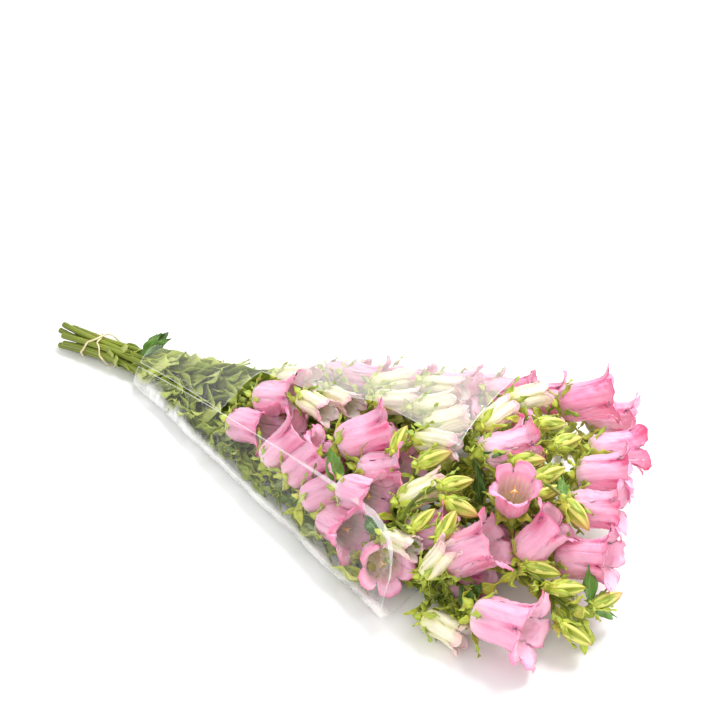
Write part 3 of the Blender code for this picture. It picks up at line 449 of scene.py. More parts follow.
def settle(stem_points):
    """Base and tip of every flower, moved apart from each other, from the stems and from the wrap."""
    owner, local, radius = flower_balls()
    home_base = np.array([flower[2] for flower in FLOWERS], float)
    axis = np.array([direction(flower[3], flower[4]) for flower in FLOWERS])
    length = np.array([LENGTHS[flower[1]] * flower[5] for flower in FLOWERS])
    home_tip = home_base + axis * length[:, None]
    base, tip = home_base.copy(), home_tip.copy()
    share = (local[:, 0] / length[owner])[:, None]
    reach = np.where(owner[:, None] != owner[None], radius[:, None] + radius[None] + ROOM, 0)
    stem_reach = radius[:, None] + STEM_RADIUS + 1.4 * ROOM
    rows = np.arange(len(owner))
    for _ in range(SETTLE_STEPS):
        balls = ball_places(base, tip, owner, local)
        apart = balls[:, None] - balls[None]
        distance = np.linalg.norm(apart, axis=2) + 1e-9
        push = (apart * ((reach - distance).clip(0) / distance)[..., None]).sum(1) * 0.5
        apart = balls[:, None] - stem_points[None]
        distance = np.linalg.norm(apart, axis=2) + 1e-9
        overlap = (stem_reach - distance).clip(0)
        worst = overlap.argmax(1)
        push += apart[rows, worst] * (overlap / distance)[rows, worst][:, None]
        push += wall_push(balls, radius)
        move_base, move_tip = np.zeros_like(base), np.zeros_like(tip)
        np.add.at(move_base, owner, push * (1 - share))
        np.add.at(move_tip, owner, push * share)
        base += STEP * move_base + TETHER * (home_base - base)
        tip += STEP * move_tip + TETHER * (home_tip - tip)
        middle, half = (base + tip) / 2, (tip - base) / 2
        half *= (length / 2 / np.linalg.norm(half, axis=1))[:, None]
        base, tip = middle - half, middle + half
    return base, tip


# Growing stalks and leaves into the room that is left


class Taken:
    """The room that is taken, as balls, each with the number of what it belongs to."""

    def __init__(self):
        self.points, self.radii, self.whose = np.zeros((0, 3)), np.zeros(0), np.zeros(0, int)

    def add(self, points, radius, number):
        """Takes the room round these points."""
        points = np.atleast_2d(points)
        self.points = np.vstack([self.points, points])
        self.radii = np.concatenate([self.radii, np.full(len(points), radius)])
        self.whose = np.concatenate([self.whose, np.full(len(points), number)])

    def room(self, points, radius, skip):
        """The least clearance round these points to everything but the skipped numbers."""
        keep = ~np.isin(self.whose, skip)
        distance = np.linalg.norm(points[:, None] - self.points[keep][None], axis=2)
        return float((distance - self.radii[keep][None]).min()) - radius


def stem_number(name):
    """A stem's number in the room that is taken."""
    return int(name)


def flower_number(index):
    """A flower's number in the room that is taken."""
    return 100 + index


def stalk_choices(path, base, axis, size):
    """Curves from the stem to a flower's base, the plainest first."""
    foot = base - axis * 0.30 * size
    nearest = runs(path)[np.linalg.norm(path - foot, axis=1).argmin()]
    for sway in (0.0, 0.3, 0.6, 0.9, 1.2):
        for back in (1.6, 2.4, 0.8, 3.4, 4.4, 0.0, 5.6, 7.0, 9.0):
            root = max(nearest - back, FIRST_STALK)
            start = on_path(path, root)
            reach = np.linalg.norm(foot - start)
            for turn in range(8 if sway else 1):
                aside = outward(unit(foot - start), turn * math.pi / 4) * sway * reach
                leave = start + way_at(path, root) * reach * 0.4 + aside
                arrive = foot - axis * reach * 0.4 + aside * 0.5
                yield curve_between(start, leave, arrive, foot, STALK_STEPS)


def grow_stalks(paths, base, tip, taken):
    """A stalk for each flower, by the first way that is clear, or else by the clearest."""
    stalks = []
    for i, (stem, _, _, _, _, size) in enumerate(FLOWERS):
        axis = unit(tip[i] - base[i])
        best, best_room = None, -math.inf
        for curve in stalk_choices(paths[stem], base[i], axis, size):
            line = filled(curve[::2], 0.3)
            from_behind = float(((curve[-3:-1] - base[i]) @ axis).max()) < -0.3
            room = min(
                taken.room(line, STALK_RADIUS, [stem_number(stem), flower_number(i)]),
                taken.room(line[:-3], STALK_RADIUS, [stem_number(stem)]) if from_behind else -1.0,
                float(wrap_room(line).min()) - STALK_RADIUS,
            )
            if room > best_room:
                best, best_room = curve, room
            if room > ROOM / 2:
                break
        taken.add(filled(best[::2], 0.3), STALK_RADIUS, stem_number(stem))
        stalks.append(best)
    return stalks


def leaf_grid(leaf):
    """Points of a leaf's left edge, midrib and right edge at each station, from its root to its tip."""
    root, ahead, face, length, width, phase = leaf
    side = np.cross(ahead, face)
    rows = []
    for k, (t, w) in enumerate(zip(LEAF_STATIONS, LEAF_HALF_WIDTHS)):
        middle = root + ahead * length * t - face * length * LEAF_CURL * t * t
        half = width / 2 * w
        wave = LEAF_WAVE * length * w * (1 if (k + phase) % 2 else -1)
        rise = LEAF_CUP * half
        left = middle - side * half + face * (rise + wave)
        right = middle + side * half + face * (rise - wave)
        rows.append((left, middle, right))
    return rows


def leaf_points(leaf):
    """Points all over a leaf outside its root, for judging what is near."""
    rows = np.array(leaf_grid(leaf))
    t = np.linspace(0, len(rows) - 1, 13)
    low = np.minimum(t.astype(int), len(rows) - 2)
    part = (t - low)[:, None, None]
    fine = rows[low] * (1 - part) + rows[low + 1] * part
    halves = (fine[:, :-1] + fine[:, 1:]) / 2
    every = np.concatenate([fine, halves], axis=1).reshape(-1, 3)
    return every[np.linalg.norm(every - leaf[0], axis=1) > 0.7]


def leaf_size(along):
    """Length and width of a leaf: broad low on the stem, small among the flowers."""
    t = min(max((along - FIRST_LEAF) / 42, 0), 1)
    return LEAF_LONGEST + (LEAF_SHORTEST - LEAF_LONGEST) * t, LEAF_WIDEST + (LEAF_NARROWEST - LEAF_WIDEST) * t


def grow_leaves(paths, taken):
    """Leaves up each stem in a spiral, each at the first seeded try that is clear of its neighbours."""
    draw = random.Random(LEAF_SEED)
    leaves = {name: [] for name in STEMS}
    for name, path in paths.items():
        full = runs(path)[-1]
        distance = FIRST_LEAF - STEMS[name][0] + draw.uniform(0, 2.0)
        turn = draw.uniform(0, 2 * math.pi)
        while distance < full - 1.0:
            centre, ahead = on_path(path, distance), way_at(path, distance)
            length, width = leaf_size(centre[0])
            for attempt in range(LEAF_TRIES):
                shrink = 1.0 - 0.04 * attempt
                angle = turn + draw.uniform(-0.3, 0.3) + 0.9 * attempt * (1 if attempt % 2 else -1)
                way, face = tilted(ahead, outward(ahead, angle), math.radians(draw.uniform(16, 44)))
                leaf = (centre, way, face, length * shrink, width * shrink, attempt)
                points = leaf_points(leaf)
                inside = float(wrap_room(points).min()) > 0.12
                if inside and taken.room(points, LEAF_HALF_RIB, [stem_number(name)]) > LEAF_ROOM:
                    leaves[name].append(leaf)
                    taken.add(points, 0.30, stem_number(name))
                    break
            distance += LEAF_SPACING
            turn += GOLDEN_TURN
    return leaves


def lay_out():
    """Everything's place: stem paths, flower bases and tips, stalks and leaves."""
    paths = {name: stem_path(name) for name in STEMS}
    base, tip = settle(np.vstack([filled(path, 0.8) for path in paths.values()]))
    taken = Taken()
    for name, path in paths.items():
        taken.add(filled(path, 0.3), STEM_RADIUS, stem_number(name))
    owner, local, radius = flower_balls()
    for i, place, r in zip(owner, ball_places(base, tip, owner, local), radius):
        taken.add(place, r, flower_number(i))
    stalks = grow_stalks(paths, base, tip, taken)
    leaves = grow_leaves(paths, taken)
    return paths, base, tip, stalks, leaves


# Node trees. A Field is one value in a tree, and a sum or product with it adds the node that works it out


def feed(slot, value):
    """Links a field to a node's input, or sets the input to a plain value."""
    if isinstance(value, Field):
        slot.id_data.links.new(value.socket, slot)
    elif value is not None:
        slot.default_value = value


def shown(sockets, title):
    """The socket of that name, or of that number, among those that the node's settings leave in use."""
    used = [s for s in sockets if s.enabled]
    return used[title] if isinstance(title, int) else next(s for s in used if s.name == title)


def add_node(tree, kind, output=0, **settings):
    """A node in a tree, and its output. Capital names are its inputs, small ones its own settings."""
    made = tree.nodes.new(kind)
    for title, value in settings.items():
        if title[0].islower():
            setattr(made, title, value)
    for title, value in settings.items():
        if not title[0].islower():
            feed(shown(made.inputs, title.replace("_", " ")), value)
    return Field(shown(made.outputs, output))


class Field:
    """A value in a node tree, so that a rule can be written as a formula."""

    def __init__(self, socket):
        self.socket, self.tree = socket, socket.id_data

    def to(self, operation, *others):
        """This value and others, put through one step of arithmetic."""
        node = self.tree.nodes.new("ShaderNodeMath")
        node.operation = operation
        for slot, value in zip(node.inputs, (self, *others)):
            feed(slot, value)
        return Field(node.outputs[0])

    def __add__(self, other):
        return self.to("ADD", other)

    def __sub__(self, other):
        return self.to("SUBTRACT", other)

    def __mul__(self, other):
        return self.to("MULTIPLY", other)

    def __truediv__(self, other):
        return self.to("DIVIDE", other)

    def __pow__(self, other):
        return self.to("POWER", other)

    def __neg__(self):
        return self * -1.0

    def from_one(self):
        """What is left of 1."""
        return -self + 1.0

    def sin(self):
        return self.to("SINE")

    def cos(self):
        return self.to("COSINE")

    def size(self):
        """The value without its sign."""
        return self.to("ABSOLUTE")

    def within(self, low, high):
        """0 at low, 1 at high, smooth between them."""
        return add_node(
            self.tree, "ShaderNodeMapRange", interpolation_type="SMOOTHSTEP",
            Value=self, From_Min=low, From_Max=high,
        )

    def parts(self):
        """A vector's x, y and z."""
        node = self.tree.nodes.new("ShaderNodeSeparateXYZ")
        feed(node.inputs[0], self)
        return [Field(out) for out in node.outputs]

    def times(self, amount):
        """A vector made longer or shorter."""
        return add_node(self.tree, "ShaderNodeVectorMath", operation="SCALE", Vector=self, Scale=amount)


def vector(tree, x, y, z):
    """A vector from three values."""
    return add_node(tree, "ShaderNodeCombineXYZ", X=x, Y=y, Z=z)


class Rule:
    """A geometry node tree with named inputs, and short ways to add to it."""

    def __init__(self, name, **inputs):
        self.tree = bpy.data.node_groups.new(name, "GeometryNodeTree")
        kinds = {float: "NodeSocketFloat", int: "NodeSocketInt", type(None): "NodeSocketMaterial"}
        self.tree.interface.new_socket("Geometry", in_out="INPUT", socket_type="NodeSocketGeometry")
        for title, value in inputs.items():
            socket = self.tree.interface.new_socket(title, in_out="INPUT", socket_type=kinds[type(value)])
            if value is not None:
                socket.default_value = value
        self.tree.interface.new_socket("Geometry", in_out="OUTPUT", socket_type="NodeSocketGeometry")
        self.given = self.tree.nodes.new("NodeGroupInput")

    def __getitem__(self, title):
        """One of the rule's inputs."""
        return Field(self.given.outputs[title])

    def add(self, kind, output=0, **settings):
        """A node in the rule's tree, and its output."""
        return add_node(self.tree, kind, output, **settings)

    def stored(self, name, kind="FLOAT"):
        """A value that the points carry."""
        return self.add("GeometryNodeInputNamedAttribute", data_type=kind, Name=name)

    def store(self, geometry, name, value, kind="FLOAT"):
        """The geometry, with a value that its points carry."""
        return self.add(
            "GeometryNodeStoreNamedAttribute", data_type=kind, domain="POINT",
            Geometry=geometry, Name=name, Value=value,
        )

    def draw(self, number, low, high, ident=0):
        """A random value, the same for all points with the same ident."""
        seed = self["Seed"] * 31.0 + float(number)
        return self.add("FunctionNodeRandomValue", data_type="FLOAT", Min=low, Max=high, ID=ident, Seed=seed)

    def uneven(self, place, grain):
        """Soft noise round 0, another for each seed."""
        shift = self.add("ShaderNodeVectorMath", operation="ADD", Vector=place)
        away = self["Seed"] * 7.3
        feed(shift.socket.node.inputs[1], vector(self.tree, away, away, away))
        return self.add("ShaderNodeTexNoise", Vector=shift, Scale=grain, Detail=0.6) - 0.5

    def wall(self, geometry, thickness, front, back):
        """A sheet made into a thin closed wall, its front where its faces point."""
        behind = self.add("GeometryNodeFlipFaces", Mesh=geometry)
        behind = self.add("GeometryNodeSetMaterial", Geometry=behind, Material=back)
        raised = self.add(
            "GeometryNodeExtrudeMesh", mode="FACES", Mesh=geometry, Offset_Scale=thickness, Individual=False,
        )
        ahead = self.add("GeometryNodeSetMaterial", Geometry=raised, Material=front)
        both = self.tree.nodes.new("GeometryNodeJoinGeometry")
        feed(both.inputs[0], behind)
        feed(both.inputs[0], ahead)
        return self.add("GeometryNodeMergeByDistance", Geometry=Field(both.outputs[0]), Distance=WELD)

    def end(self, geometry):
        """Everything real and smooth, as the tree's result."""
        whole = self.add("GeometryNodeRealizeInstances", Geometry=geometry)
        soft = self.add("GeometryNodeSetShadeSmooth", Geometry=whole, Shade_Smooth=True)
        out = self.tree.nodes.new("NodeGroupOutput")
        feed(out.inputs[0], soft)
        return self


def link(name, mesh):
    """A mesh as an object in the scene."""
    made = bpy.data.objects.new(name, mesh)
    bpy.context.scene.collection.objects.link(made)
    return made


def store_values(mesh, title, values):
    """Gives each point of a mesh its own value, a number or a vector, or all points the same number."""
    values = np.asarray(values, float)
    if values.ndim == 0:
        values = np.full(len(mesh.vertices), values)
    vectors = values.ndim == 2
    made = mesh.attributes.new(title, "FLOAT_VECTOR" if vectors else "FLOAT", "POINT")
    made.data.foreach_set("vector" if vectors else "value", values.ravel())


def grow(rule, points, name, edges=(), values=(), **inputs):
    """What a rule makes of points given in centimetres, as a plain mesh, still in centimetres."""
    mesh = bpy.data.meshes.new(name)
    mesh.from_pydata(np.asarray(points, float).reshape(-1, 3).tolist(), list(edges), [])
    for title, given in values:
        store_values(mesh, title, given)
    source = link(name, mesh)
    modifier = source.modifiers.new("rule", "NODES")
    modifier.node_group = rule.tree
    for item in rule.tree.interface.items_tree:
        if item.in_out == "INPUT" and item.name in inputs:
            modifier[item.identifier] = inputs[item.name]
    bpy.context.view_layer.update()
    graph = bpy.context.evaluated_depsgraph_get()
    made = bpy.data.meshes.new_from_object(
        source.evaluated_get(graph), preserve_all_data_layers=True, depsgraph=graph,
    )
    source.modifiers.remove(modifier)
    bpy.data.objects.remove(source)
    bpy.data.meshes.remove(mesh)
    made.name = name
    return made


def into_model(mesh, place=Matrix.Identity(4)):
    """A mesh in centimetres, put where place says in the bunch, as an object in the model's frame."""
    mesh.transform(Matrix.Scale(CM, 4) @ Matrix.Translation((-ORIGIN_ALONG, 0, 0)) @ place)
    return link(mesh.name, mesh)


def flower_place(base, tip, roll, size):
    """The matrix that takes a flower from its own frame, its axis along z, to its place in the bunch."""
    axis = unit(tip - base)
    first, second = cross_frame(axis, roll)
    turn = Matrix([[*row] for row in np.array([first, second, axis]).T * size]).to_4x4()
    return Matrix.Translation(base) @ turn


def curve(tree, value, *points):
    """A soft curve through points, read at a value from 0 to 1."""
    node = tree.nodes.new("ShaderNodeFloatCurve")
    line = node.mapping.curves[0]
    line.points[0].location, line.points[1].location = points[0], points[-1]
    for point in points[1:-1]:
        line.points.new(*point)
    node.mapping.update()
    feed(node.inputs["Value"], value)
    return Field(node.outputs[0])


# The joined petals of an open and of a half-open flower: sizes in centimetres, and how fine they are
BELL_SHAPE = dict(
    Length=BELL_LENGTH, Radius=BELL_RADIUS, Throat=0.75, Notch=0.30, Lobe=1.72, Breadth=3.0, Roll=1.75,
    Keel=0.04, Crumple=0.9, Around=80, Rows=26,
)
HALF_OPEN_SHAPE = dict(
    Length=HALF_OPEN_LENGTH, Radius=HALF_OPEN_RADIUS, Throat=0.74, Notch=0.22, Lobe=1.08, Breadth=2.1,
    Roll=0.30, Keel=0.09, Crumple=0.75, Around=60, Rows=22,
)
# A bell's section: shares of its way up, and there its radius and height as shares of its greatest
BELL_OUT = ((0, 0), (0.07, 0.34), (0.16, 0.60), (0.28, 0.80), (0.42, 0.90), (0.58, 0.91), (0.76, 0.88),
            (0.9, 0.89), (1, 0.94))
BELL_UP = ((0, 0), (0.07, 0.004), (0.16, 0.035), (0.28, 0.13), (0.42, 0.29), (0.58, 0.49), (0.76, 0.70),
           (0.9, 0.87), (1, 1))
NOTCH_PULL = 0.018  # how far the columns crowd towards the notches between the lobes
POINT_OF_LOBE = 0.10  # how much further out a lobe's tip stands
# What makes a petal uneven: grain round it and along it, how far it lifts, and where that sets in
DENTS = (1.1, 2.2, 0.62, 0.08, 0.45)
FOLDS = (2.3, 0.7, 0.30, 0.05, 0.6)
CREASES = (5.5, 1.2, 0.06, 0.1, 0.5)
RUFFLE, RUFFLE_GRAIN = 1.15, (2.6, 1.6)
OVALS = ((2, 0.05), (3, 0.045))  # waves round a bell that keep it from being round, and their height
LOBE_LENGTHS, LOBE_ROLLS = (0.84, 1.12), (0.62, 1.30)  # from the least to the most


def petal_rule():
    """Rule: a bell of five joined petals, shaped in rows from the middle of its floor out to its rim."""
    rule = Rule("joined petals", **BELL_SHAPE, Seed=0, Thickness=PETAL_THICKNESS, Outside=None, Inside=None)
    tree, crumple = rule.tree, rule["Crumple"]
    sheet = rule.add(
        "GeometryNodeMeshGrid", Size_X=1.0, Size_Y=1.0, Vertices_X=rule["Around"] + 1.0,
        Vertices_Y=rule["Rows"],
    )
    x, y, _ = rule.add("GeometryNodeInputPosition").parts()
    round_share = x + 0.5 + ((x + 0.5) * (2 * LOBES * math.pi)).sin() * NOTCH_PULL
    turn, grown = round_share * (2 * math.pi), y + 0.5
    lobes = round_share * LOBES + 0.5
    number = lobes.to("FLOOR").to("MODULO", LOBES)
    across = lobes.to("FRACT") * 2.0 - 1.0
    middle = (turn * LOBES).cos() * 0.5 + 0.5

    def each(key, low, high):
        """A value that differs from lobe to lobe, and is the same in all the notches."""
        mean = (low + high) / 2
        return rule.draw(key, low - mean, high - mean, number) * middle + mean

    outline = (across.size() ** rule["Breadth"]).from_one().to("MAXIMUM", 0.0) ** 0.6
    outline = outline + across.size().from_one() ** 4.0 * POINT_OF_LOBE
    share = (grown / TUBE_ROWS_SHARE).to("MINIMUM", 1.0)
    out = curve(tree, share, *BELL_OUT) * 1.1 * rule["Radius"]
    up = curve(tree, share, *BELL_UP) * rule["Length"] * rule["Throat"]
    edge = ((grown - TUBE_ROWS_SHARE) / (1 - TUBE_ROWS_SHARE)).to("MAXIMUM", 0.0)
    reach = rule["Notch"] + (rule["Lobe"] - rule["Notch"]) * outline * each(1, *LOBE_LENGTHS)
    bend = rule["Roll"] * each(2, *LOBE_ROLLS) / rule["Lobe"]
    angle = bend * reach * edge
    out = out + angle.cos().from_one() / bend
    up = up + angle.sin() / bend
    for waves, amount in OVALS:
        out = out + (turn * float(waves) + rule.draw(waves, 0.0, 6.3)).sin() * crumple * grown * amount
    squash = rule.draw(11, -0.06, 0.06) * crumple
    place = vector(tree, turn.cos() * out * (squash + 1.0), turn.sin() * out * squash.from_one(), up)
    sheet = rule.store(sheet, "own", vector(tree, turn.cos(), turn.sin(), grown), "FLOAT_VECTOR")
    sheet = rule.add("GeometryNodeSetPosition", Geometry=sheet, Position=place)
    sheet = rule.add("GeometryNodeMergeByDistance", Geometry=sheet, Distance=WELD)

    cos, sin, grown = rule.stored("own", "FLOAT_VECTOR").parts()
    middle = (sin.to("ARCTAN2", cos) * LOBES).cos() * 0.5 + 0.5
    edge = ((grown - TUBE_ROWS_SHARE) / (1 - TUBE_ROWS_SHARE)).to("MAXIMUM", 0.0)

    def uneven(around, along):
        """Soft noise with this much grain round the petal and along it."""
        return rule.uneven(vector(tree, cos * around, sin * around, grown * along), 1.0)

    dents, folds, creases = (
        uneven(around, along) * amount * grown.within(low, high)
        for around, along, amount, low, high in (DENTS, FOLDS, CREASES)
    )
    ruffle = uneven(*RUFFLE_GRAIN) * RUFFLE * edge ** 1.3 * (middle * 0.75 + 0.25)
    body = (grown * 1.3).to("MINIMUM", 1.0) * math.pi
    keel = (middle ** 14.0 - middle.from_one() ** 9.0 * 1.3) * rule["Keel"] * body.sin().to("MAXIMUM", 0.15)
    lift = (dents + folds + creases + ruffle) * crumple + keel
    # The fold relief, which the petal finishes read to paint shade into the creases
    sheet = rule.store(sheet, "fold", (dents * 0.4 + folds + creases * 2.0 + ruffle * 0.6) * crumple)
    facing = rule.add("GeometryNodeInputNormal")
    sheet = rule.add("GeometryNodeSetPosition", Geometry=sheet, Offset=facing.times(lift))
    return rule.end(rule.wall(sheet, rule["Thickness"], rule["Outside"], rule["Inside"]))


LEAF_RIBS, RIB_SLANT = 7.0, 1.5  # side ribs of a leaf, in the shape and in its colour
FRILLS = 19.0  # along a leaf's edge


def blade_rule():
    """Rule: at each point one thin blade, such as a leaf or sepal, turned and sized as the point says."""
    rule = Rule(
        "blade", Rows=24, Columns=9, Widest=0.45, Point=1.0, Teeth=0.0, Tooth=0.0, Curl=0.16, Cup=0.25,
        Wave=0.07, Frill=0.05, Quilt=0.05, Thickness=LEAF_THICKNESS, Front=None, Back=None,
    )
    tree = rule.tree
    sheet = rule.add(
        "GeometryNodeMeshGrid", Size_X=2.0, Size_Y=1.0, Vertices_X=rule["Columns"], Vertices_Y=rule["Rows"],
    )
    x, y, _ = rule.add("GeometryNodeInputPosition").parts()
    along = y + 0.5
    low = (along / rule["Widest"]).to("MINIMUM", 1.0)
    high = ((along - rule["Widest"]) / rule["Widest"].from_one()).to("MAXIMUM", 0.0)
    half = (low * (math.pi / 2)).sin() ** 0.8 * (high ** 1.5).from_one().to("MAXIMUM", 0.0) ** rule["Point"]
    teeth = (along * rule["Teeth"] * math.pi).sin().size() ** 0.6 * rule["Tooth"]
    half = (half * (rule["Tooth"].from_one() + teeth)).to("MAXIMUM", 0.02)
    curl = -(along ** 2.0) * rule["Curl"]
    sheet = rule.store(sheet, "own", vector(tree, x, along, 0.0), "FLOAT_VECTOR")
    sheet = rule.store(sheet, "cup", x.size() ** 1.4 * half * rule["Cup"])
    sheet = rule.add("GeometryNodeSetPosition", Geometry=sheet, Position=vector(tree, x * half, along, curl))
    turn = rule.add("FunctionNodeEulerToRotation", Euler=rule.stored("turn", "FLOAT_VECTOR"))
    blades = rule.add(
        "GeometryNodeInstanceOnPoints", Points=rule["Geometry"], Instance=sheet, Rotation=turn,
        Scale=rule.stored("measure", "FLOAT_VECTOR"),
    )
    blades = rule.add("GeometryNodeRealizeInstances", Geometry=blades)
    x, along, _ = rule.stored("own", "FLOAT_VECTOR").parts()
    half_width, length, _ = rule.stored("measure", "FLOAT_VECTOR").parts()
    phase = rule.stored("pick") * 40.0
    wave = ((along * 3.4 + phase) * math.pi).sin() * along.within(0.0, 0.3) * rule["Wave"] * x * length
    frill = (along * FRILLS + phase).sin() * x ** 3.0 * rule["Frill"] * half_width
    ribs = ((along * LEAF_RIBS - x.size() * RIB_SLANT) * math.pi).sin().size()
    ribs = ribs * (x ** 2.0).from_one() * rule["Quilt"]
    groove = x.size().within(0.22, 0.0) * rule["Quilt"] * 1.6
    lift = rule.stored("cup") * half_width + wave + frill + (ribs - groove) * half_width
    facing = rule.add("GeometryNodeInputNormal")
    blades = rule.add("GeometryNodeSetPosition", Geometry=blades, Offset=facing.times(lift))
    return rule.end(rule.wall(blades, rule["Thickness"], rule["Front"], rule["Back"]))


def rod_rule():
    """Rule: a closed rod along each line of points, as thick as the points say, ribbed along its length."""
    rule = Rule("ribbed rod", Sides=16, Ribs=8, Depth=0.05, Finish=None)
    tree = rule.tree
    line = rule.add("GeometryNodeMeshToCurve", Mesh=rule["Geometry"])
    line = rule.add("GeometryNodeSetCurveRadius", Curve=line, Radius=rule.stored("thick"))
    line = rule.store(line, "along", rule.add("GeometryNodeSplineParameter", "Length"))
    ring = rule.add("GeometryNodeCurvePrimitiveCircle", Resolution=rule["Sides"], Radius=1.0)
    place = rule.add("GeometryNodeInputPosition")
    x, y, _ = place.parts()
    ring = rule.store(ring, "round", place, "FLOAT_VECTOR")
    swell = (y.to("ARCTAN2", x) * rule["Ribs"]).cos() * rule["Depth"] + 1.0
    ring = rule.add("GeometryNodeSetPosition", Geometry=ring, Position=place.times(swell))
    rod = rule.add("GeometryNodeCurveToMesh", Curve=line, Profile_Curve=ring, Fill_Caps=True)
    side = rod.socket.node.inputs.get("Scale")
    if side is not None:
        feed(side, rule.stored("thick"))
    x, y, _ = rule.stored("round", "FLOAT_VECTOR").parts()
    rod = rule.store(rod, "own", vector(tree, x, y, rule.stored("along")), "FLOAT_VECTOR")
    return rule.end(rule.add("GeometryNodeSetMaterial", Geometry=rod, Material=rule["Finish"]))


# Finishes


def attribute(tree, name, output="Fac"):
    """A value that the points carry, in a material."""
    return add_node(tree, "ShaderNodeAttribute", output, attribute_name=name)


def noise(tree, scale, detail=3.0, stretch=(1, 1, 1), distortion=0.0):
    """Soft noise on Object coordinates, its grain in 1/metre."""
    place = add_node(tree, "ShaderNodeTexCoord", "Object")
    place = add_node(tree, "ShaderNodeMapping", Vector=place, Scale=stretch)
    return add_node(
        tree, "ShaderNodeTexNoise", Vector=place, Scale=scale, Detail=detail, Distortion=distortion,
    )


def blend(share, first, second):
    """A colour between two, each a field or a colour as it looks on a screen."""
    node = share.tree.nodes.new("ShaderNodeMix")
    node.data_type = "RGBA"
    feed(node.inputs[0], share)
    for slot, given in ((node.inputs[6], first), (node.inputs[7], second)):
        feed(slot, given if isinstance(given, Field) else (*colour(*given), 1.0))
    return Field(node.outputs[2])


def paint(shader, body, *layers):
    """Gives a shader its colour: the body's, with others laid over it, each by its own share."""
    for share, over in layers:
        body = blend(share, body, over)
    feed(shader.inputs["Base Color"], body)


def colour(red, green, blue):
    """A colour given as it looks on a screen, from 0 to 255."""
    shares = (red / 255, green / 255, blue / 255)
    return tuple(v / 12.92 if v <= 0.04045 else ((v + 0.055) / 1.055) ** 2.4 for v in shares)


def finish(name, roughness, **sockets):
    """A new material, and its tree and shader."""
    made = bpy.data.materials.new(name)
    made.use_nodes = True
    shader = made.node_tree.nodes["Principled BSDF"]
    shader.inputs["Roughness"].default_value = roughness
    for title, value in sockets.items():
        shader.inputs[title.replace("_", " ")].default_value = value
    return made, made.node_tree, shader


def soft_finish(name, roughness, sheen, glow, depth):
    """A new material with some sheen, which lets a share of the light in, this deep in metres."""
    return finish(name, roughness, Sheen_Weight=sheen, Subsurface_Weight=glow, Subsurface_Scale=depth)


def bump(tree, shader, height, strength, distance):
    """Gives a shader fine relief."""
    facing = add_node(tree, "ShaderNodeBump", Height=height, Strength=strength, Distance=distance)
    feed(shader.inputs["Normal"], facing)


def petal_veins():
    """Group: fine lines along a petal, from its own place."""
    tree = bpy.data.node_groups.new("petal veins", "ShaderNodeTree")
    for title in ("Lines", "Sharpness"):
        tree.interface.new_socket(title, in_out="INPUT", socket_type="NodeSocketFloat")
    tree.interface.new_socket("Vein", in_out="OUTPUT", socket_type="NodeSocketFloat")
    tree.interface.new_socket("Fine", in_out="OUTPUT", socket_type="NodeSocketFloat")
    given, out = tree.nodes.new("NodeGroupInput").outputs, tree.nodes.new("NodeGroupOutput").inputs
    cos, sin, grown = attribute(tree, "own", "Vector").parts()
    angle = sin.to("ARCTAN2", cos) + (noise(tree, 60, 2) - 0.5) * 0.22
    lines = (angle * Field(given["Lines"])).sin() * 0.5 + 0.5
    feed(out["Vein"], lines ** Field(given["Sharpness"]))
    feed(out["Fine"], ((angle * 61.0 + grown * 3.0).sin() * 0.5 + 0.5) ** 2.0)
    return tree


def use_group(tree, group, **values):
    """A node group in a tree, and its outputs by their names."""
    node = tree.nodes.new("ShaderNodeGroup")
    node.node_tree = group
    for title, value in values.items():
        feed(node.inputs[title], value)
    return {out.name: Field(out) for out in node.outputs}


def petal(name, veins, lines, sharpness, glow=(1.0, 0.42, 0.55)):
    """A petal's shader with its soft look, and the values that its colour follows."""
    made, tree, shader = soft_finish(name, 0.5, 0.12, 0.55, 0.001)
    shader.inputs["Subsurface Radius"].default_value = glow
    cos, sin, grown = attribute(tree, "own", "Vector").parts()
    middle = (sin.to("ARCTAN2", cos) * LOBES).cos()
    drawn = use_group(tree, veins, Lines=lines, Sharpness=sharpness)
    return made, tree, shader, grown, middle, drawn["Vein"], drawn["Fine"]


def petal_outside(veins):
    """A bell's pink outside, deep pink at its rim, with painted shade in its folds and in the pits between
    its lobes.
    """
    made, tree, shader, grown, middle, vein, fine = petal("bell petal outside", veins, 15.0, 5.0)
    fold, soft = attribute(tree, "fold"), noise(tree, 28, 3)
    # The pits between the lobes, which are deepened to pink as painted shade
    notch_shade = middle.within(-0.5, -1.0) * grown.within(0.40, 0.62) * grown.within(1.0, 0.78)
    paint(
        shader, blend(grown.within(0.02, 0.34), (252, 218, 226), (247, 178, 203)),
        (attribute(tree, "pick") * 0.5, (246, 146, 182)),
        (soft.within(0.35, 0.75) * 0.5, (254, 204, 218)),
        (vein * 0.2, (234, 120, 164)),
        (fine * 0.1, (236, 130, 172)),
        # Painted shade: deep pink in the creases of the folds and in the pits between the lobes
        (fold.within(0.0, -0.12) * 0.8, (230, 84, 138)),
        (notch_shade * 0.7, (218, 68, 128)),
        (grown.within(0.88, 1.0) * 0.75, (230, 84, 144)),
        (grown.within(0.12, 0.0) * 0.8, (226, 226, 178)),
    )
    bump(tree, shader, vein * 0.4 + fine * 0.25 + soft * 0.6, 0.5, 0.0006)
    return made


def petal_inside(veins):
    """A bell's inside, cream in the throat and pink towards its rim, with painted shade in the creases of its
    folds.
    """
    made, tree, shader, grown, _, vein, fine = petal("bell petal inside", veins, 20.0, 3.0)
    fold, soft = attribute(tree, "fold"), noise(tree, 30, 3)
    paint(
        shader, blend(grown.within(0.38, 0.66), (255, 236, 226), (255, 178, 204)),
        (soft.within(0.3, 0.8) * 0.5, (255, 212, 224)),
        (vein * grown.within(0.7, 0.35) * 0.28, (226, 140, 150)),
        (fine * 0.07, (242, 140, 174)),
        # Painted shade: deeper pink in the creases of the folds
        (fold.within(0.03, 0.2) * 0.35, (238, 100, 148)),
        (grown.within(0.86, 1.0) * 0.6, (238, 96, 150)),
        (grown.within(0.22, 0.02) * 0.8, (252, 228, 160)),
    )
    bump(tree, shader, vein * 0.5 + soft * 0.5, 0.4, 0.0005)
    return made


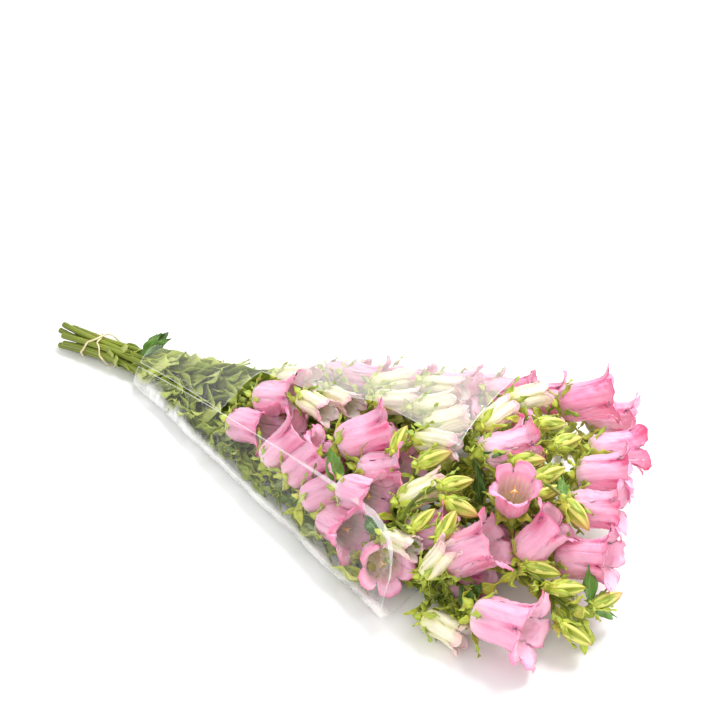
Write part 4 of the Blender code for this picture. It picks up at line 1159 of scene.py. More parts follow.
def half_open_outside(veins):
    """A half-open bell's outside: green at its foot, cream above, with a pink blush at its rim and painted
    shade in the creases of its folds.
    """
    made, tree, shader, grown, middle, vein, _ = petal(
        "half-open petal outside", veins, 15.0, 4.0, glow=(1.0, 0.75, 0.5),
    )
    blush = grown.within(0.50, 1.0) * (attribute(tree, "pick") * 0.8 + 0.4)
    paint(
        shader, blend(grown.within(0.0, 0.42), (212, 214, 118), (255, 238, 208)),
        (middle.within(0.1, -0.9) * 0.55, (214, 208, 140)),
        (vein * 0.25, (218, 212, 160)),
        # Painted shade: darker olive in the creases of the folds
        (attribute(tree, "fold").within(0.0, -0.14) * 0.6, (206, 190, 130)),
        (blush.to("MINIMUM", 1.0), (246, 160, 188)),
    )
    bump(tree, shader, vein * 0.5 + noise(tree, 40, 3) * 0.5, 0.5, 0.0006)
    return made


def half_open_inside(veins):
    """A half-open bell's inside: cream, and pink at its rim."""
    made, tree, shader, grown, _, vein, _ = petal("half-open petal inside", veins, 15.0, 4.0)
    paint(
        shader, blend(grown.within(0.3, 0.75), (246, 240, 206), (252, 236, 226)),
        (vein * 0.2, (226, 206, 176)),
        (grown.within(0.7, 1.0) * 0.6, (246, 172, 196)),
    )
    bump(tree, shader, vein * 0.5 + noise(tree, 40, 3) * 0.5, 0.4, 0.0005)
    return made


def bud_green():
    """A closed bud, yellow-green between its ribs and brownish at its tip."""
    made, tree, shader = soft_finish("closed bud", 0.5, 0.1, 0.12, 0.003)
    cos, sin, grown = attribute(tree, "own", "Vector").parts()
    lobe = (sin.to("ARCTAN2", cos) * LOBES + grown * 2.0).cos()
    paint(
        shader, blend(lobe.within(-0.6, 0.9), (152, 164, 40), (224, 222, 116)),
        (noise(tree, 55, 3).within(0.4, 0.7) * 0.4, (196, 200, 92)),
        (grown.within(0.45, 1.0) * attribute(tree, "pick").within(0.2, 0.9) * 0.8, (216, 158, 112)),
        (grown.within(0.88, 1.0) * 0.6, (186, 108, 74)),
    )
    bump(tree, shader, noise(tree, 300, 3), 0.3, 0.0005)
    return made


def calyx_green():
    """The calyx with its sepals and flaps, fresh green with a paler midrib."""
    made, tree, shader = soft_finish("calyx", 0.5, 0.12, 0.1, 0.002)
    x, along, _ = attribute(tree, "own", "Vector").parts()
    paint(
        shader, blend(along.within(0.0, 1.0), (188, 202, 62), (134, 162, 36)),
        (attribute(tree, "pick") * 0.5, (210, 216, 72)),
        (noise(tree, 90, 3).within(0.4, 0.7) * 0.5, (96, 130, 36)),
        (x.size().within(0.3, 0.0) * 0.45, (212, 220, 130)),
    )
    bump(tree, shader, noise(tree, 420, 3), 0.4, 0.0005)
    return made


def leaf_face(name, dark, light, rib):
    """A leaf's face with its midrib and side veins."""
    made, tree, shader = soft_finish(name, 0.5, 0.1, 0.06, 0.002)
    x, along, _ = attribute(tree, "own", "Vector").parts()
    size = x.size()
    side = ((along * LEAF_RIBS - size * RIB_SLANT) * math.pi).sin().size()
    middle = size.within(0.14, 0.03)
    paint(
        shader, blend(attribute(tree, "pick"), dark, light),
        (noise(tree, 45, 4).within(0.35, 0.7) * 0.5, light),
        (side.within(0.22, 0.0) * size.within(1.0, 0.5) * 0.4, rib),
        (middle * 0.75, rib),
    )
    bump(tree, shader, noise(tree, 500, 2) * 0.4 + side * 0.4 - middle, 0.6, 0.0008)
    return made


def stem_green():
    """A ribbed green stem with brown flecks, pale where it is cut, with a painted highlight along its ribs.
    """
    made, tree, shader = soft_finish("stem", 0.45, 0.08, 0.05, 0.002)
    cos, sin, along = attribute(tree, "own", "Vector").parts()
    soft = noise(tree, 35, 3, stretch=(0.3, 1, 1))
    paint(
        shader, blend(soft.within(0.3, 0.7), (62, 82, 8), (122, 136, 28)),
        # Painted highlight: paler green along the ribs
        ((sin.to("ARCTAN2", cos) * STEM_RIBS).cos().within(-0.2, 1.0) * 0.5, (162, 170, 64)),
        (noise(tree, 90, 2).within(0.6, 0.72) * 0.5, (142, 112, 56)),
        (along.within(0.05, 0.0), (214, 212, 150)),
    )
    bump(tree, shader, noise(tree, 500, 3, stretch=(0.2, 1, 1)), 0.4, 0.0006)
    return made


def pistil_finish(name, light, dark, roughness):
    """A grainy finish for the parts of a pistil."""
    made, tree, shader = soft_finish(name, roughness, 0.0, 0.1, 0.002)
    paint(shader, blend(noise(tree, 300, 3).within(0.35, 0.65), light, dark))
    bump(tree, shader, noise(tree, 700, 2), 0.4, 0.0004)
    return made


def clear_film():
    """Clear film: its haze and painted glints along its wrinkles, then its hem and free edges, its ground
    fold and its narrow end.

    The points carry how far they lie from the hem, from a free edge and from the fold on the ground.
    """
    made, tree, shader = finish("clear film", 0.1, Specular_IOR_Level=0.6)
    shader.inputs["Base Color"].default_value = (0.97, 0.965, 0.95, 1.0)
    hem, free, fold = attribute(tree, "own", "Vector").parts()
    turned_away = add_node(tree, "ShaderNodeLayerWeight", "Facing", Blend=0.2)
    streak = noise(tree, 30, 4, stretch=(1, 0.4, 1), distortion=1.0)
    # Painted glints: thin white lines along the film's wrinkles
    crease_glints = (noise(tree, 12, 3, stretch=(1.0, 0.45, 1), distortion=1.6) - 0.5).size().within(0.014, 0.0)
    alpha = attribute(tree, "haze") * (streak * 0.8 + 0.6) + crease_glints * 0.05
    alpha = alpha + hem.within(1.0, 0.8) * (streak * 0.24 + 0.10) + free.within(0.09, 0.05) * 0.24
    alpha = alpha + fold.within(1.9, 1.1) * (streak.within(0.35, 0.6) * 0.36 + 0.28)
    alpha = alpha + fold.within(0.12, 0.03) * 0.2
    along = add_node(tree, "ShaderNodeTexCoord", "Object").parts()[0]
    # White creases like fingers where the narrow end is gathered
    crumpled = along.within(-0.175, -0.16) * along.within(-0.085, -0.125) * fold.within(2.6, 0.6)
    finger = noise(tree, 60, 2, stretch=(1.0, 0.22, 0.22), distortion=0.4).within(0.50, 0.58)
    alpha = alpha + crumpled * finger * 0.5 + turned_away ** 3.0 * 0.15
    feed(shader.inputs["Alpha"], alpha.to("MINIMUM", 0.85))
    bump(tree, shader, noise(tree, 22, 3, distortion=0.8), 0.5, 0.004)
    return made


def pale_elastic():
    """The band's pale elastic."""
    made, tree, shader = soft_finish("pale elastic", 0.6, 0.0, 0.1, 0.001)
    paint(shader, blend(noise(tree, 200, 3).within(0.3, 0.7), (214, 194, 150), (236, 220, 184)))
    bump(tree, shader, noise(tree, 900, 2), 0.3, 0.0003)
    return made


# Meshes. A piece is gathered from sheets and shells, then made into one mesh


def curve_values(at, places, values):
    """A smooth curve through values given at these places, read at every at."""
    places, values = np.array(places, float), np.array(values, float)
    slope = np.gradient(values, places)
    at = np.clip(at, places[0], places[-1])
    i = np.clip(np.searchsorted(places, at, side="right") - 1, 0, len(places) - 2)
    gap = places[i + 1] - places[i]
    t = (at - places[i]) / gap
    return (
        values[i] * (2 * t**3 - 3 * t**2 + 1)
        + slope[i] * gap * (t**3 - 2 * t**2 + t)
        + values[i + 1] * (3 * t**2 - 2 * t**3)
        + slope[i + 1] * gap * (t**3 - t**2)
    )


def grid_normals(grid):
    """The way that each point of a grid faces: square to its rows and to its columns."""
    facing = np.cross(np.gradient(grid, axis=0), np.gradient(grid, axis=1))
    return facing / (np.linalg.norm(facing, axis=2, keepdims=True) + 1e-12)


class Piece:
    """Points, faces, the slots of their finishes and the values that the materials read, in centimetres."""

    def __init__(self):
        self.points, self.own, self.pick, self.haze, self.faces, self.slots = [], [], [], [], [], []
        self.total = 0

    def add_points(self, points, own, pick, haze=0.0):
        """Adds points with their values, and gives the number of the first."""
        points = np.asarray(points, float).reshape(-1, 3)
        first = self.total
        own = np.asarray(own, float)
        self.points.append(points)
        self.own.append(np.broadcast_to(own, points.shape) if own.ndim == 1 else own.reshape(-1, 3))
        self.pick.append(np.full(len(points), pick))
        self.haze.append(np.broadcast_to(np.asarray(haze, float).reshape(-1), (len(points),)))
        self.total += len(points)
        return first

    def add_faces(self, faces, slot):
        """Adds faces that all have one finish."""
        self.faces += faces
        self.slots += [slot] * len(faces)

    def skin(self, first, rows, columns, around, slot, flip=False):
        """Quads over a grid of points that starts at first."""
        i, j = np.meshgrid(np.arange(rows - 1), np.arange(columns if around else columns - 1), indexing="ij")
        k = (j + 1) % columns
        a, b, c, d = i * columns + j, (i + 1) * columns + j, (i + 1) * columns + k, i * columns + k
        quads = np.stack([a, d, c, b] if flip else [a, b, c, d], axis=-1).reshape(-1, 4) + first
        self.add_faces(quads.tolist(), slot)

    def sheet(self, grid, thickness, own, pick, haze):
        """A thin wall on both sides of a grid, closed along its four edges."""
        rows, columns = grid.shape[:2]
        half = grid_normals(grid) * thickness / 2
        front = self.add_points(grid + half, own, pick, haze)
        behind = self.add_points(grid - half, own, pick, haze)
        self.skin(front, rows, columns, False, 0)
        self.skin(behind, rows, columns, False, 0, flip=True)
        top, left = np.arange(columns), np.arange(rows) * columns
        bottom, right = left[-1] + top, left + columns - 1
        for edge in (top, bottom[::-1], left[::-1], right):
            here, after = edge[:-1], edge[1:]
            quads = np.stack([here + front, after + front, after + behind, here + behind], axis=-1)
            self.add_faces(quads.tolist(), 0)

    def shell(self, grid, own, pick, slot):
        """A closed skin on a grid that runs around, with a cap at each end."""
        rows, columns = grid.shape[:2]
        first = self.add_points(grid, own, pick)
        self.skin(first, rows, columns, True, slot)
        last = first + (rows - 1) * columns
        ends = [list(range(first, first + columns)), list(range(last + columns - 1, last - 1, -1))]
        self.add_faces(ends, slot)


def make(piece, name, finishes):
    """The piece as one smooth object in metres, in the model's frame."""
    points = (np.vstack(piece.points) - (ORIGIN_ALONG, 0, 0)) * CM
    mesh = bpy.data.meshes.new(name)
    mesh.from_pydata(points.tolist(), [], piece.faces)
    for material in finishes:
        mesh.materials.append(material)
    mesh.polygons.foreach_set("material_index", piece.slots)
    mesh.polygons.foreach_set("use_smooth", [True] * len(piece.faces))
    store_values(mesh, "own", np.vstack(piece.own))
    store_values(mesh, "pick", np.concatenate(piece.pick))
    store_values(mesh, "haze", np.concatenate(piece.haze))
    mesh.update()
    return link(name, mesh)


def put(local, base, tip, roll, size):
    """Points in a flower's own frame, its axis along z, moved to where the flower is."""
    axis = unit(tip - base)
    first, second = cross_frame(axis, roll)
    return base + (local[..., :1] * first + local[..., 1:2] * second + local[..., 2:] * axis) * size


def above_floor(piece):
    """Flattens what would reach below the floor, as a petal does that lies on it."""
    points = np.empty(len(piece.data.vertices) * 3)
    piece.data.vertices.foreach_get("co", points)
    up = points[2::3]
    points[2::3] = np.where(up < FLOOR_GAP, FLOOR_GAP + (up - FLOOR_GAP) * 0.02, up)
    piece.data.vertices.foreach_set("co", points)
    piece.data.update()


# Flowers


# How deep some flowers' pink is, where the photograph shows it
DEPTHS = {
    "bell_26": 1.8, "bell_05": 0.05, "bell_01": 1.0, "bell_02": 0.9, "bell_16": 0.8, "bell_27": 0.2,
    "bell_28": 0.25,
}
OWN_SHAPES = {
    "bell_04": dict(Crumple=0.55, Roll=1.6),
    "bell_16": dict(Crumple=0.7, Radius=1.32, Lobe=1.35, Roll=0.9),
}


def petals(rule, index, name, base, tip, outside, inside):
    """The joined petals of one flower, in its place."""
    stage, size = FLOWERS[index][1], FLOWERS[index][5]
    shape = {**(BELL_SHAPE if stage == "bell" else HALF_OPEN_SHAPE), **OWN_SHAPES.get(name, {})}
    mesh = grow(rule, [(0, 0, 0)], f"{name}_petals", Outside=outside, Inside=inside, Seed=index, **shape)
    store_values(mesh, "pick", DEPTHS.get(name, random.Random(index).random() * 0.8))
    return into_model(mesh, flower_place(base, tip, ROLLS[index], size))


def turned(profile, sides, wobble=None):
    """Points of a turned form with this profile of (radius, height), and each point's own place."""
    radius, height = np.array(profile, float).T
    turn = np.linspace(0, 2 * math.pi, sides, endpoint=False)
    grown = np.linspace(0, 1, len(radius))[:, None] * np.ones_like(turn)
    out = radius[:, None] * (1.0 if wobble is None else wobble(turn, grown)) * np.ones_like(turn)
    cos, sin = np.cos(turn) * np.ones_like(out), np.sin(turn) * np.ones_like(out)
    points = np.stack([out * cos, out * sin, height[:, None] * np.ones_like(out)], axis=-1)
    return points, np.stack([cos, sin, grown], axis=-1)


def add_pistil(piece, where, long, pick, draw):
    """A pale style with a yellow stigma of three curled arms, and the withered stamens round its foot."""
    heights = (0.02, 0.04, 0.16, 0.5, long * 0.45, long * 0.62, long * 0.68, long * 0.70)
    profile = list(zip((0.02, 0.30, 0.26, 0.12, 0.09, 0.11, 0.13, 0.03), heights))
    points, own = turned(profile[::-1], 10)
    piece.shell(put(points, *where), own, pick, 0)
    lean = draw.uniform(0, 2)

    def add_arm(angle, out, up, radii, sides, slot):
        """A bent tube that starts out from the axis at this angle."""
        way = np.array([math.cos(angle), math.sin(angle), 0.0])
        path = way * out + np.array([0, 0, 1.0]) * up
        piece.shell(put(small_tube(path, radii[:, 0], sides), *where), (0, 0, 1), pick, slot)

    for k in range(3):
        t = np.linspace(0, 1, 6)[:, None]
        up = long * 0.66 + 0.34 * t - 0.30 * t**3
        add_arm(lean + k * 2 * math.pi / 3, 0.05 + 0.32 * t**1.3, up, 0.085 - 0.03 * t, 6, 1)
    for k in range(LOBES):
        t = np.linspace(0, 1, 5)[:, None]
        up = 0.12 + 1.0 * t - 0.3 * t**2
        add_arm(lean + (k + 0.5) * 2 * math.pi / LOBES, 0.22 + 0.30 * t, up, 0.05 + 0.03 * t, 5, 0)


def small_tube(path, radii, sides):
    """Rings round a path, for arms and anthers."""
    way = np.gradient(path, axis=0)
    way /= np.linalg.norm(way, axis=1, keepdims=True) + 1e-9
    side = cross_frame(unit(way[0]))[0]
    turn = np.linspace(0, 2 * math.pi, sides, endpoint=False)[:, None]
    rings = []
    for point, ahead, radius in zip(path, way, radii):
        side = unit(side - ahead * (side @ ahead))
        rings.append(point + (side * np.cos(turn) - np.cross(ahead, side) * np.sin(turn)) * radius)
    return np.array(rings)


# Green parts


CUPS = {
    "bell": [(0.17, -0.62), (0.20, -0.50), (0.38, -0.36), (0.60, -0.20), (0.78, -0.04), (0.50, -0.07)],
    "half_open": [(0.17, -0.58), (0.19, -0.46), (0.32, -0.34), (0.48, -0.18), (0.56, -0.03), (0.38, -0.06)],
    "bud": [(0.16, -0.52), (0.17, -0.40), (0.27, -0.29), (0.39, -0.13), (0.42, 0.04), (0.28, 0.08)],
}


def add_bud(piece, where, pick, draw):
    """A closed bud: five sharp ribs that wind slightly to a blunt point."""
    twist = draw.uniform(0.2, 0.6)

    def ribs(turn, t):
        """How far the ribs stand out, at a share of the way from the tip."""
        t = 1 - t
        fade = np.sin(math.pi * np.clip(0.12 + 0.86 * t, 0, 1)) ** 0.6
        return 1 + (0.16 * np.cos(5 * (turn + twist * t)) - 0.05 * np.cos(10 * (turn + twist * t))) * fade

    t = np.linspace(0, 1, 16)
    radius = curve_values(t, (0, 0.12, 0.32, 0.6, 0.85, 1), (0.55, 0.92, 1.10, 0.96, 0.55, 0.06)) * BUD_RADIUS
    points, own = turned(list(zip(radius, t * BUD_LENGTH * 0.97))[::-1], 30, ribs)
    own[..., 2] = 1 - own[..., 2]
    piece.shell(put(points, *where), own, pick, 1)


def grow_blades(rule, blades, name, seed, **shape):
    """Blades, each (root, ahead, face, length, width), as one piece."""
    draw = random.Random(seed)
    points = [blade[0] for blade in blades]
    turns = [
        Matrix(np.array([np.cross(ahead, face), ahead, face]).T.tolist()).to_euler()
        for _, ahead, face, _, _ in blades
    ]
    sizes = [(width / 2, length, length) for _, _, _, length, width in blades]
    values = (("turn", turns), ("measure", sizes), ("pick", [draw.random() for _ in blades]))
    return into_model(grow(rule, points, name, values=values, **shape))


# By stage: radius and height where they are rooted, lean in degrees, length, width
SEPALS = {
    "bell": (0.80, -0.14, 52, 2.3, 0.92), "half_open": (0.58, -0.14, 36, 2.1, 0.80),
    "bud": (0.41, -0.10, 21, 2.0, 0.62),
}
FLAPS = {
    "bell": (0.76, -0.02, 128, 0.95, 0.80), "half_open": (0.55, -0.02, 130, 0.80, 0.64),
    "bud": (0.40, 0.0, 134, 0.62, 0.50),
}


def calyx_blades(table, index, base, tip, draw, shift):
    """Five blades round a flower's foot."""
    stage, size = FLOWERS[index][1], FLOWERS[index][5]
    radius, height, lean, length, width = table[stage]
    axis = unit(tip - base)
    blades = []
    for k in range(LOBES):
        out = outward(axis, (2 * k + shift) * math.pi / LOBES + draw.uniform(-0.07, 0.07), ROLLS[index])
        way, face = tilted(axis, out, math.radians(lean + draw.uniform(-7, 9)))
        root = base + (out * radius + axis * height) * size
        blades.append((root, way, face, length * size * draw.uniform(0.85, 1.12), width * size))
    return blades


def show_mouths(base, tip):
    """The flowers' tips with some bells turned a little towards the camera, as the photograph shows them."""
    turned_tips = tip.copy()
    for i, amount in MOUTHS.items():
        long = np.linalg.norm(tip[i] - base[i])
        turned_tips[i] = base[i] + unit((tip[i] - base[i]) / long + amount * np.array(TO_CAMERA)) * long
    return turned_tips


def flowers_as_balls(base, tip):
    """The places and radii of the balls that stand for the flowers."""
    owner, local, radius = flower_balls()
    return ball_places(base, tip, owner, local), radius


def is_clear(line, balls, off_flowers, off_film, height=-math.inf):
    """Whether a line keeps these distances from the flowers and the film, and this height."""
    places, radius = balls
    gap = np.linalg.norm(line[:, None] - places[None], axis=2) - radius[None]
    return gap.min() > off_flowers and wrap_room(line).min() > off_film and line[:, 2].min() > height


def extra_leaves(paths, balls):
    """The low broad leaves and the small ones between the large, off the flowers and inside the film."""
    draw = random.Random(EXTRA_SEED)
    broad, small = {name: [] for name in paths}, {name: [] for name in paths}
    for name, path in paths.items():
        full, distance, turn = runs(path)[-1], EXTRA_FIRST - STEMS[name][0], draw.uniform(0, 6.3)
        while distance < full - 0.5:
            centre, ahead = on_path(path, distance), way_at(path, distance)
            low = centre[0] < LOW_LEAVES_END
            lengths, leans, breadths, off_film, leaves = (
                (LOW_LEAF_LENGTH, (8, 34), (0.48, 0.64), 0.35, broad[name]) if low
                else (EXTRA_LENGTH, (14, 62), (0.28, 0.44), 0.1, small[name])
            )
            for _ in range(EXTRA_TRIES):
                out = outward(ahead, turn + draw.uniform(-1.5, 1.5))
                way, face = tilted(ahead, out, math.radians(draw.uniform(*leans)))
                length = draw.uniform(*lengths) * (SHORT_SHARE if centre[0] < SHORT_LEAVES_END else 1)
                width = length * draw.uniform(*breadths)
                line = centre + way * np.linspace(0.2, 1, 7)[:, None] * length
                if is_clear(line, balls, 0.05, off_film, 0.25):
                    leaves.append((centre, way, face, length, width))
                    break
            distance += float(np.interp(centre[0], *EXTRA_SPACING))
            turn += GOLDEN_TURN
    return broad, small


def bracts(index, stalk, balls, draw):
    """Small narrow leaves along one flower's stalk."""
    full, turn, grown = runs(stalk)[-1], draw.uniform(0, 6.3), []
    for share in BRACT_PLACES:
        centre, ahead = on_path(stalk, full * share), way_at(stalk, full * share)
        for _ in range(BRACT_TRIES):
            turn += draw.uniform(1.0, 2.6)
            way, face = tilted(ahead, outward(ahead, turn), math.radians(draw.uniform(18, 62)))
            length = draw.uniform(1.3, 2.6) * FLOWERS[index][5]
            line = centre + way * np.linspace(0.4, 1, 4)[:, None] * length
            if is_clear(line, balls, -0.12, 0.05, 0.15):
                grown.append((centre, way, face, length, length * draw.uniform(0.26, 0.4)))
                break
    return grown


def side_shoots(paths, balls):
    """Leafy shoots from the stems into the room between the flowers and the film's near fold."""
    draw = random.Random(EXTRA_SEED + 1)
    lines, leaves = {name: [] for name in paths}, {name: [] for name in paths}
    for s in np.arange(*SHOOT_PLACES):
        half = wrap_size(s)[0]
        goal = np.array([s, -(half - draw.uniform(0.5, 1.5)), draw.uniform(0.5, 1.6)])
        starts = {name: path[np.abs(path[:, 0] - (s - 5.0)).argmin()] for name, path in paths.items()}
        name = min(starts, key=lambda n: np.linalg.norm(starts[n] - goal))
        start = starts[name]
        t = np.linspace(0, 1, 14)[:, None]
        bend = start * 0.45 + goal * 0.55 + np.array([-0.6, 0.5, 0.0])
        path = start * (1 - t) ** 2 + 2 * bend * t * (1 - t) + goal * t**2
        path[:, 2] = np.maximum(path[:, 2], 0.35)
        lines[name].append((path, np.linspace(0.11, 0.05, len(path))))
        turn = draw.uniform(0, 6.3)
        for k in range(4, len(path)):
            turn += GOLDEN_TURN
            ahead = unit(path[k] - path[k - 1])
            way, face = tilted(ahead, outward(ahead, turn), math.radians(draw.uniform(12, 50)))
            length = draw.uniform(2.0, 3.8)
            line = path[k] + way * np.linspace(0.3, 1, 5)[:, None] * length
            if is_clear(line, balls, -0.1, 0.1):
                leaves[name].append((path[k], way, face, length, length * draw.uniform(0.3, 0.5)))
    return lines, leaves


def dark_leaves(paths, stalks):
    """The dark leaves that stand out in the photograph, each on the stem or stalk nearest to its root."""
    grown = {name: [] for name in paths}
    lines = list(paths.items()) + [(flower[0], stalk) for flower, stalk in zip(FLOWERS, stalks)]
    to_camera = np.array(TO_CAMERA)
    for root, tip, width in DARK_LEAVES:
        name, near = min(
            ((name, line[np.linalg.norm(line - root, axis=1).argmin()]) for name, line in lines),
            key=lambda found: np.linalg.norm(found[1] - root),
        )
        length, way = np.linalg.norm(tip - near), unit(tip - near)
        grown[name].append((near, way, unit(to_camera - way * (way @ to_camera)), length, width))
    return grown


# Stems and band


def rod(rule, lines, name, material, closed=False, **shape):
    """Rods along these lines of (points, radii)."""
    points, edges, thick = [], [], []
    for path, radii in lines:
        first = len(points)
        points += np.asarray(path).tolist()
        edges += [(first + i, first + i + 1) for i in range(len(path) - 1)]
        if closed:
            edges.append((first + len(path) - 1, first))
        thick += np.broadcast_to(radii, len(path)).tolist()
    mesh = grow(rule, points, name, edges=edges, values=(("thick", thick),), Finish=material, **shape)
    store_values(mesh, "pick", 0.5)
    return into_model(mesh)


KNOT_GAP, KNOT_PLACE, KNOT_HALF, KNOT_RISE = 3.1, 1.5, 0.28, 0.10
SWAY = 0.05  # of a stem about its middle line
SPREAD = 0.55  # how far the stems spread below the band


def stem_rods(rule, name, path, stalks, shoots, green):
    """A stem with its knots, loose at its cut end, and the stalks and shoots that grow from it."""
    full = runs(path)[-1]
    at = np.linspace(0, full, int(full / 0.45))
    thick = STEM_RADIUS * 0.92
    phase = int(name) * 1.7
    knots = 1 + KNOT_RISE * np.exp(-(((at + phase) % KNOT_GAP - KNOT_PLACE) / KNOT_HALF) ** 2)
    way = np.stack([np.zeros_like(at), np.sin(at * 0.8 + phase), np.cos(at * 0.63 + phase)], axis=1)
    line = on_path(path, at) + way * (SWAY * np.clip(at / 4, 0.3, 1))[:, None]
    loose = np.clip((BAND_MIDDLE - 1.0 - line[:, 0]) / BAND_MIDDLE, 0, 1) ** 1.3 * SPREAD
    line[:, 1] += (line[:, 1] + phase % 1.3 - 0.65) * loose
    line[:, 2] = np.maximum(line[:, 2] + (phase % 1.7 - 0.7) * loose, thick * 1.15)
    lines = [(line, (thick + (STEM_TIP_RADIUS - thick) * (at / full) ** 3) * knots)] + shoots
    for stalk in stalks:
        steps = np.linspace(0, runs(stalk)[-1], max(6, int(runs(stalk)[-1] / 0.6)))
        lines.append((on_path(stalk, steps), 0.125 + 0.05 * np.exp(-steps / 0.8)))
    return rod(rule, lines, f"stem_{name}_stalks", green, Sides=16, Ribs=STEM_RIBS, Depth=0.07)


def band_loop(rule, elastic):
    """The elastic band: one closed loop, wound twice round the bundle."""
    centres = np.array([bundle_place(row, place) for _, (row, place), _ in STEMS.values()])
    points = []
    for t in np.linspace(0, 4 * math.pi, BAND_POINTS, endpoint=False):
        way = np.array([math.sin(t), -math.cos(t)])
        reach = centres @ way
        weight = np.exp((reach - reach.max()) / 0.06)
        outermost = (centres * weight[:, None]).sum(0) / weight.sum()
        off = STEM_RADIUS + 0.04 + BAND_RADIUS + BAND_CROSSING * (1 + math.sin(t / 2)) / 2
        points.append((BAND_MIDDLE + BAND_SWING * math.cos(t / 2), *(outermost + way * off)))
    return rod(rule, [(points, BAND_THREAD)], "tie_band", elastic, closed=True, Sides=10, Ribs=2, Depth=0.18)


# Film


def film_grid():
    """The film in rows along the bunch, and each point's share of the wrap's half width."""
    rows, shares = [], []
    for s in np.linspace(WRAP_START, WRAP_END, FILM_ROWS):
        width, height, fold = wrap_size(s)
        near, far = np.interp(s, *NEAR_FREE_EDGE), np.interp(s, *FAR_FREE_EDGE)
        near_flap = np.linspace(near, -0.985, NEAR_COLUMNS, endpoint=False)
        floor = -np.cos(np.linspace(0, math.pi, FLOOR_COLUMNS, endpoint=False))
        far_flap = np.cos(math.acos(far) * np.linspace(0, 1, FAR_COLUMNS) ** 1.05)
        share = np.concatenate([near_flap, floor, far_flap])
        up = np.concatenate([
            wrap_top(-near_flap, height, fold),
            wrap_bottom(abs(floor), fold),
            wrap_top(abs(far_flap), height, fold),
        ])
        rows.append(np.stack([np.full_like(share, s), share * width, up], axis=-1))
        shares.append(share)
    return np.array(rows), np.array(shares)


# How cloudy the film is: everywhere, more on the near flap, and on the far flap where single and doubled
HAZE, NEAR_HAZE, FAR_HAZE, DOUBLED_HAZE = 0.012, 0.015, 0.03, 0.09
# The far flap's slanting start: a place along the bunch, the share of the half width there, and its slant
CUT_PLACE, CUT_SHARE, CUT_SLANT = 24.6, -0.69, 3.1
# The film's ripples: height, and waves along and across, and where they start
RIPPLES = ((0.07, 0.9, 0.55, 1.0), (0.05, 0.5, -0.9, 2.0), (0.03, 2.3, 1.2, 0.4), (0.02, 3.1, -2.2, 0.0))


def make_film(material):
    """The film, with how far each point lies from its free edges and from its fold on the ground."""
    grid, share = film_grid()
    inward = grid_normals(grid)
    along, across, up = np.moveaxis(grid, -1, 0)
    column = np.arange(grid.shape[1])[None] * np.ones_like(along)
    on_near, on_far = column < NEAR_COLUMNS, column >= NEAR_COLUMNS + FLOOR_COLUMNS
    ripple = sum(height * np.sin(along * a + across * b + start) for height, a, b, start in RIPPLES)
    lifted = on_near * np.clip(up / 5.0, 0, 1) * np.interp(along, *NEAR_FLAP_LIFT)
    grid = grid + inward * (0.04 + (0.06 + ripple) * np.clip(up / 1.2, 0, 1) - lifted)[..., None]
    steps = np.linalg.norm(np.diff(grid, axis=1), axis=2)
    walked = np.concatenate([np.zeros((len(grid), 1)), np.cumsum(steps, axis=1)], axis=1)
    from_near = np.where(on_near, walked, FAR)
    from_far = np.where(on_far, walked[:, -1:] - walked, FAR)
    cut = np.abs(along - CUT_PLACE - (share - CUT_SHARE) * CUT_SLANT)
    from_far = np.minimum(from_far, np.where(on_far & (share < -0.15), cut, FAR))
    from_far = np.minimum(from_far, np.minimum(WRAP_END - along, along - WRAP_START))
    from_fold = np.hypot(across + wrap_size(along)[0], up * 0.8)
    doubled = np.clip((along - 25.0) / 4.0, 0, 1)
    far_haze = np.clip(up / 4, 0, 1) * (FAR_HAZE + DOUBLED_HAZE * doubled)
    haze = HAZE + on_near * NEAR_HAZE + on_far * far_haze
    hem_width = 0.10 + 0.6 * np.clip((along - 30.0) / 16.0, 0, 1) ** 1.5
    piece = Piece()
    own = np.stack([from_near / hem_width, from_far, from_fold], axis=-1)
    piece.sheet(grid, FILM_THICKNESS, own, 0.5, haze)
    return make(piece, "film", [material])


# Floor, light and camera


def pale_floor():
    """A plain white floor, wide enough to fill every view."""
    mesh = bpy.data.meshes.new("floor")
    half = 6.0
    corners = [(-half, -half, 0), (half, -half, 0), (half, half, 0), (-half, half, 0)]
    mesh.from_pydata(corners, [], [(0, 1, 2, 3)])
    white, _, shader = finish("white floor", 0.9, Specular_IOR_Level=0.1)
    shader.inputs["Base Color"].default_value = (0.94, 0.94, 0.94, 1)
    mesh.materials.append(white)
    floor = link("floor", mesh)
    floor.location.z = -0.0005


LIGHTS = {"key": ((0.45, 0.75, 1.5), 1.0, 30.0), "fill": ((0.3, -1.3, 1.0), 1.6, 7.5)}  # place, size, watts
SKY_STRENGTH = 0.83


def studio_light():
    """A bright even sky, and two large soft lights that look at the bunch."""
    world = bpy.data.worlds.new("studio")
    bpy.context.scene.world = world
    world.use_nodes = True
    sky = world.node_tree.nodes["Background"].inputs
    sky["Color"].default_value, sky["Strength"].default_value = (1.0, 1.0, 1.0, 1), SKY_STRENGTH
    for name, (place, size, power) in LIGHTS.items():
        data = bpy.data.lights.new(name, "AREA")
        data.shape, data.size, data.energy = "DISK", size, power
        light = bpy.data.objects.new(name, data)
        bpy.context.scene.collection.objects.link(light)
        light.location = place
        light.rotation_euler = (-Vector(place)).to_track_quat("-Z", "Y").to_euler()


CAMERA_PLACE, CAMERA_TURN, CAMERA_DROP, CAMERA_LENS = (0.4975, -0.7209, 0.654), 32.0, 33.0, 60.0


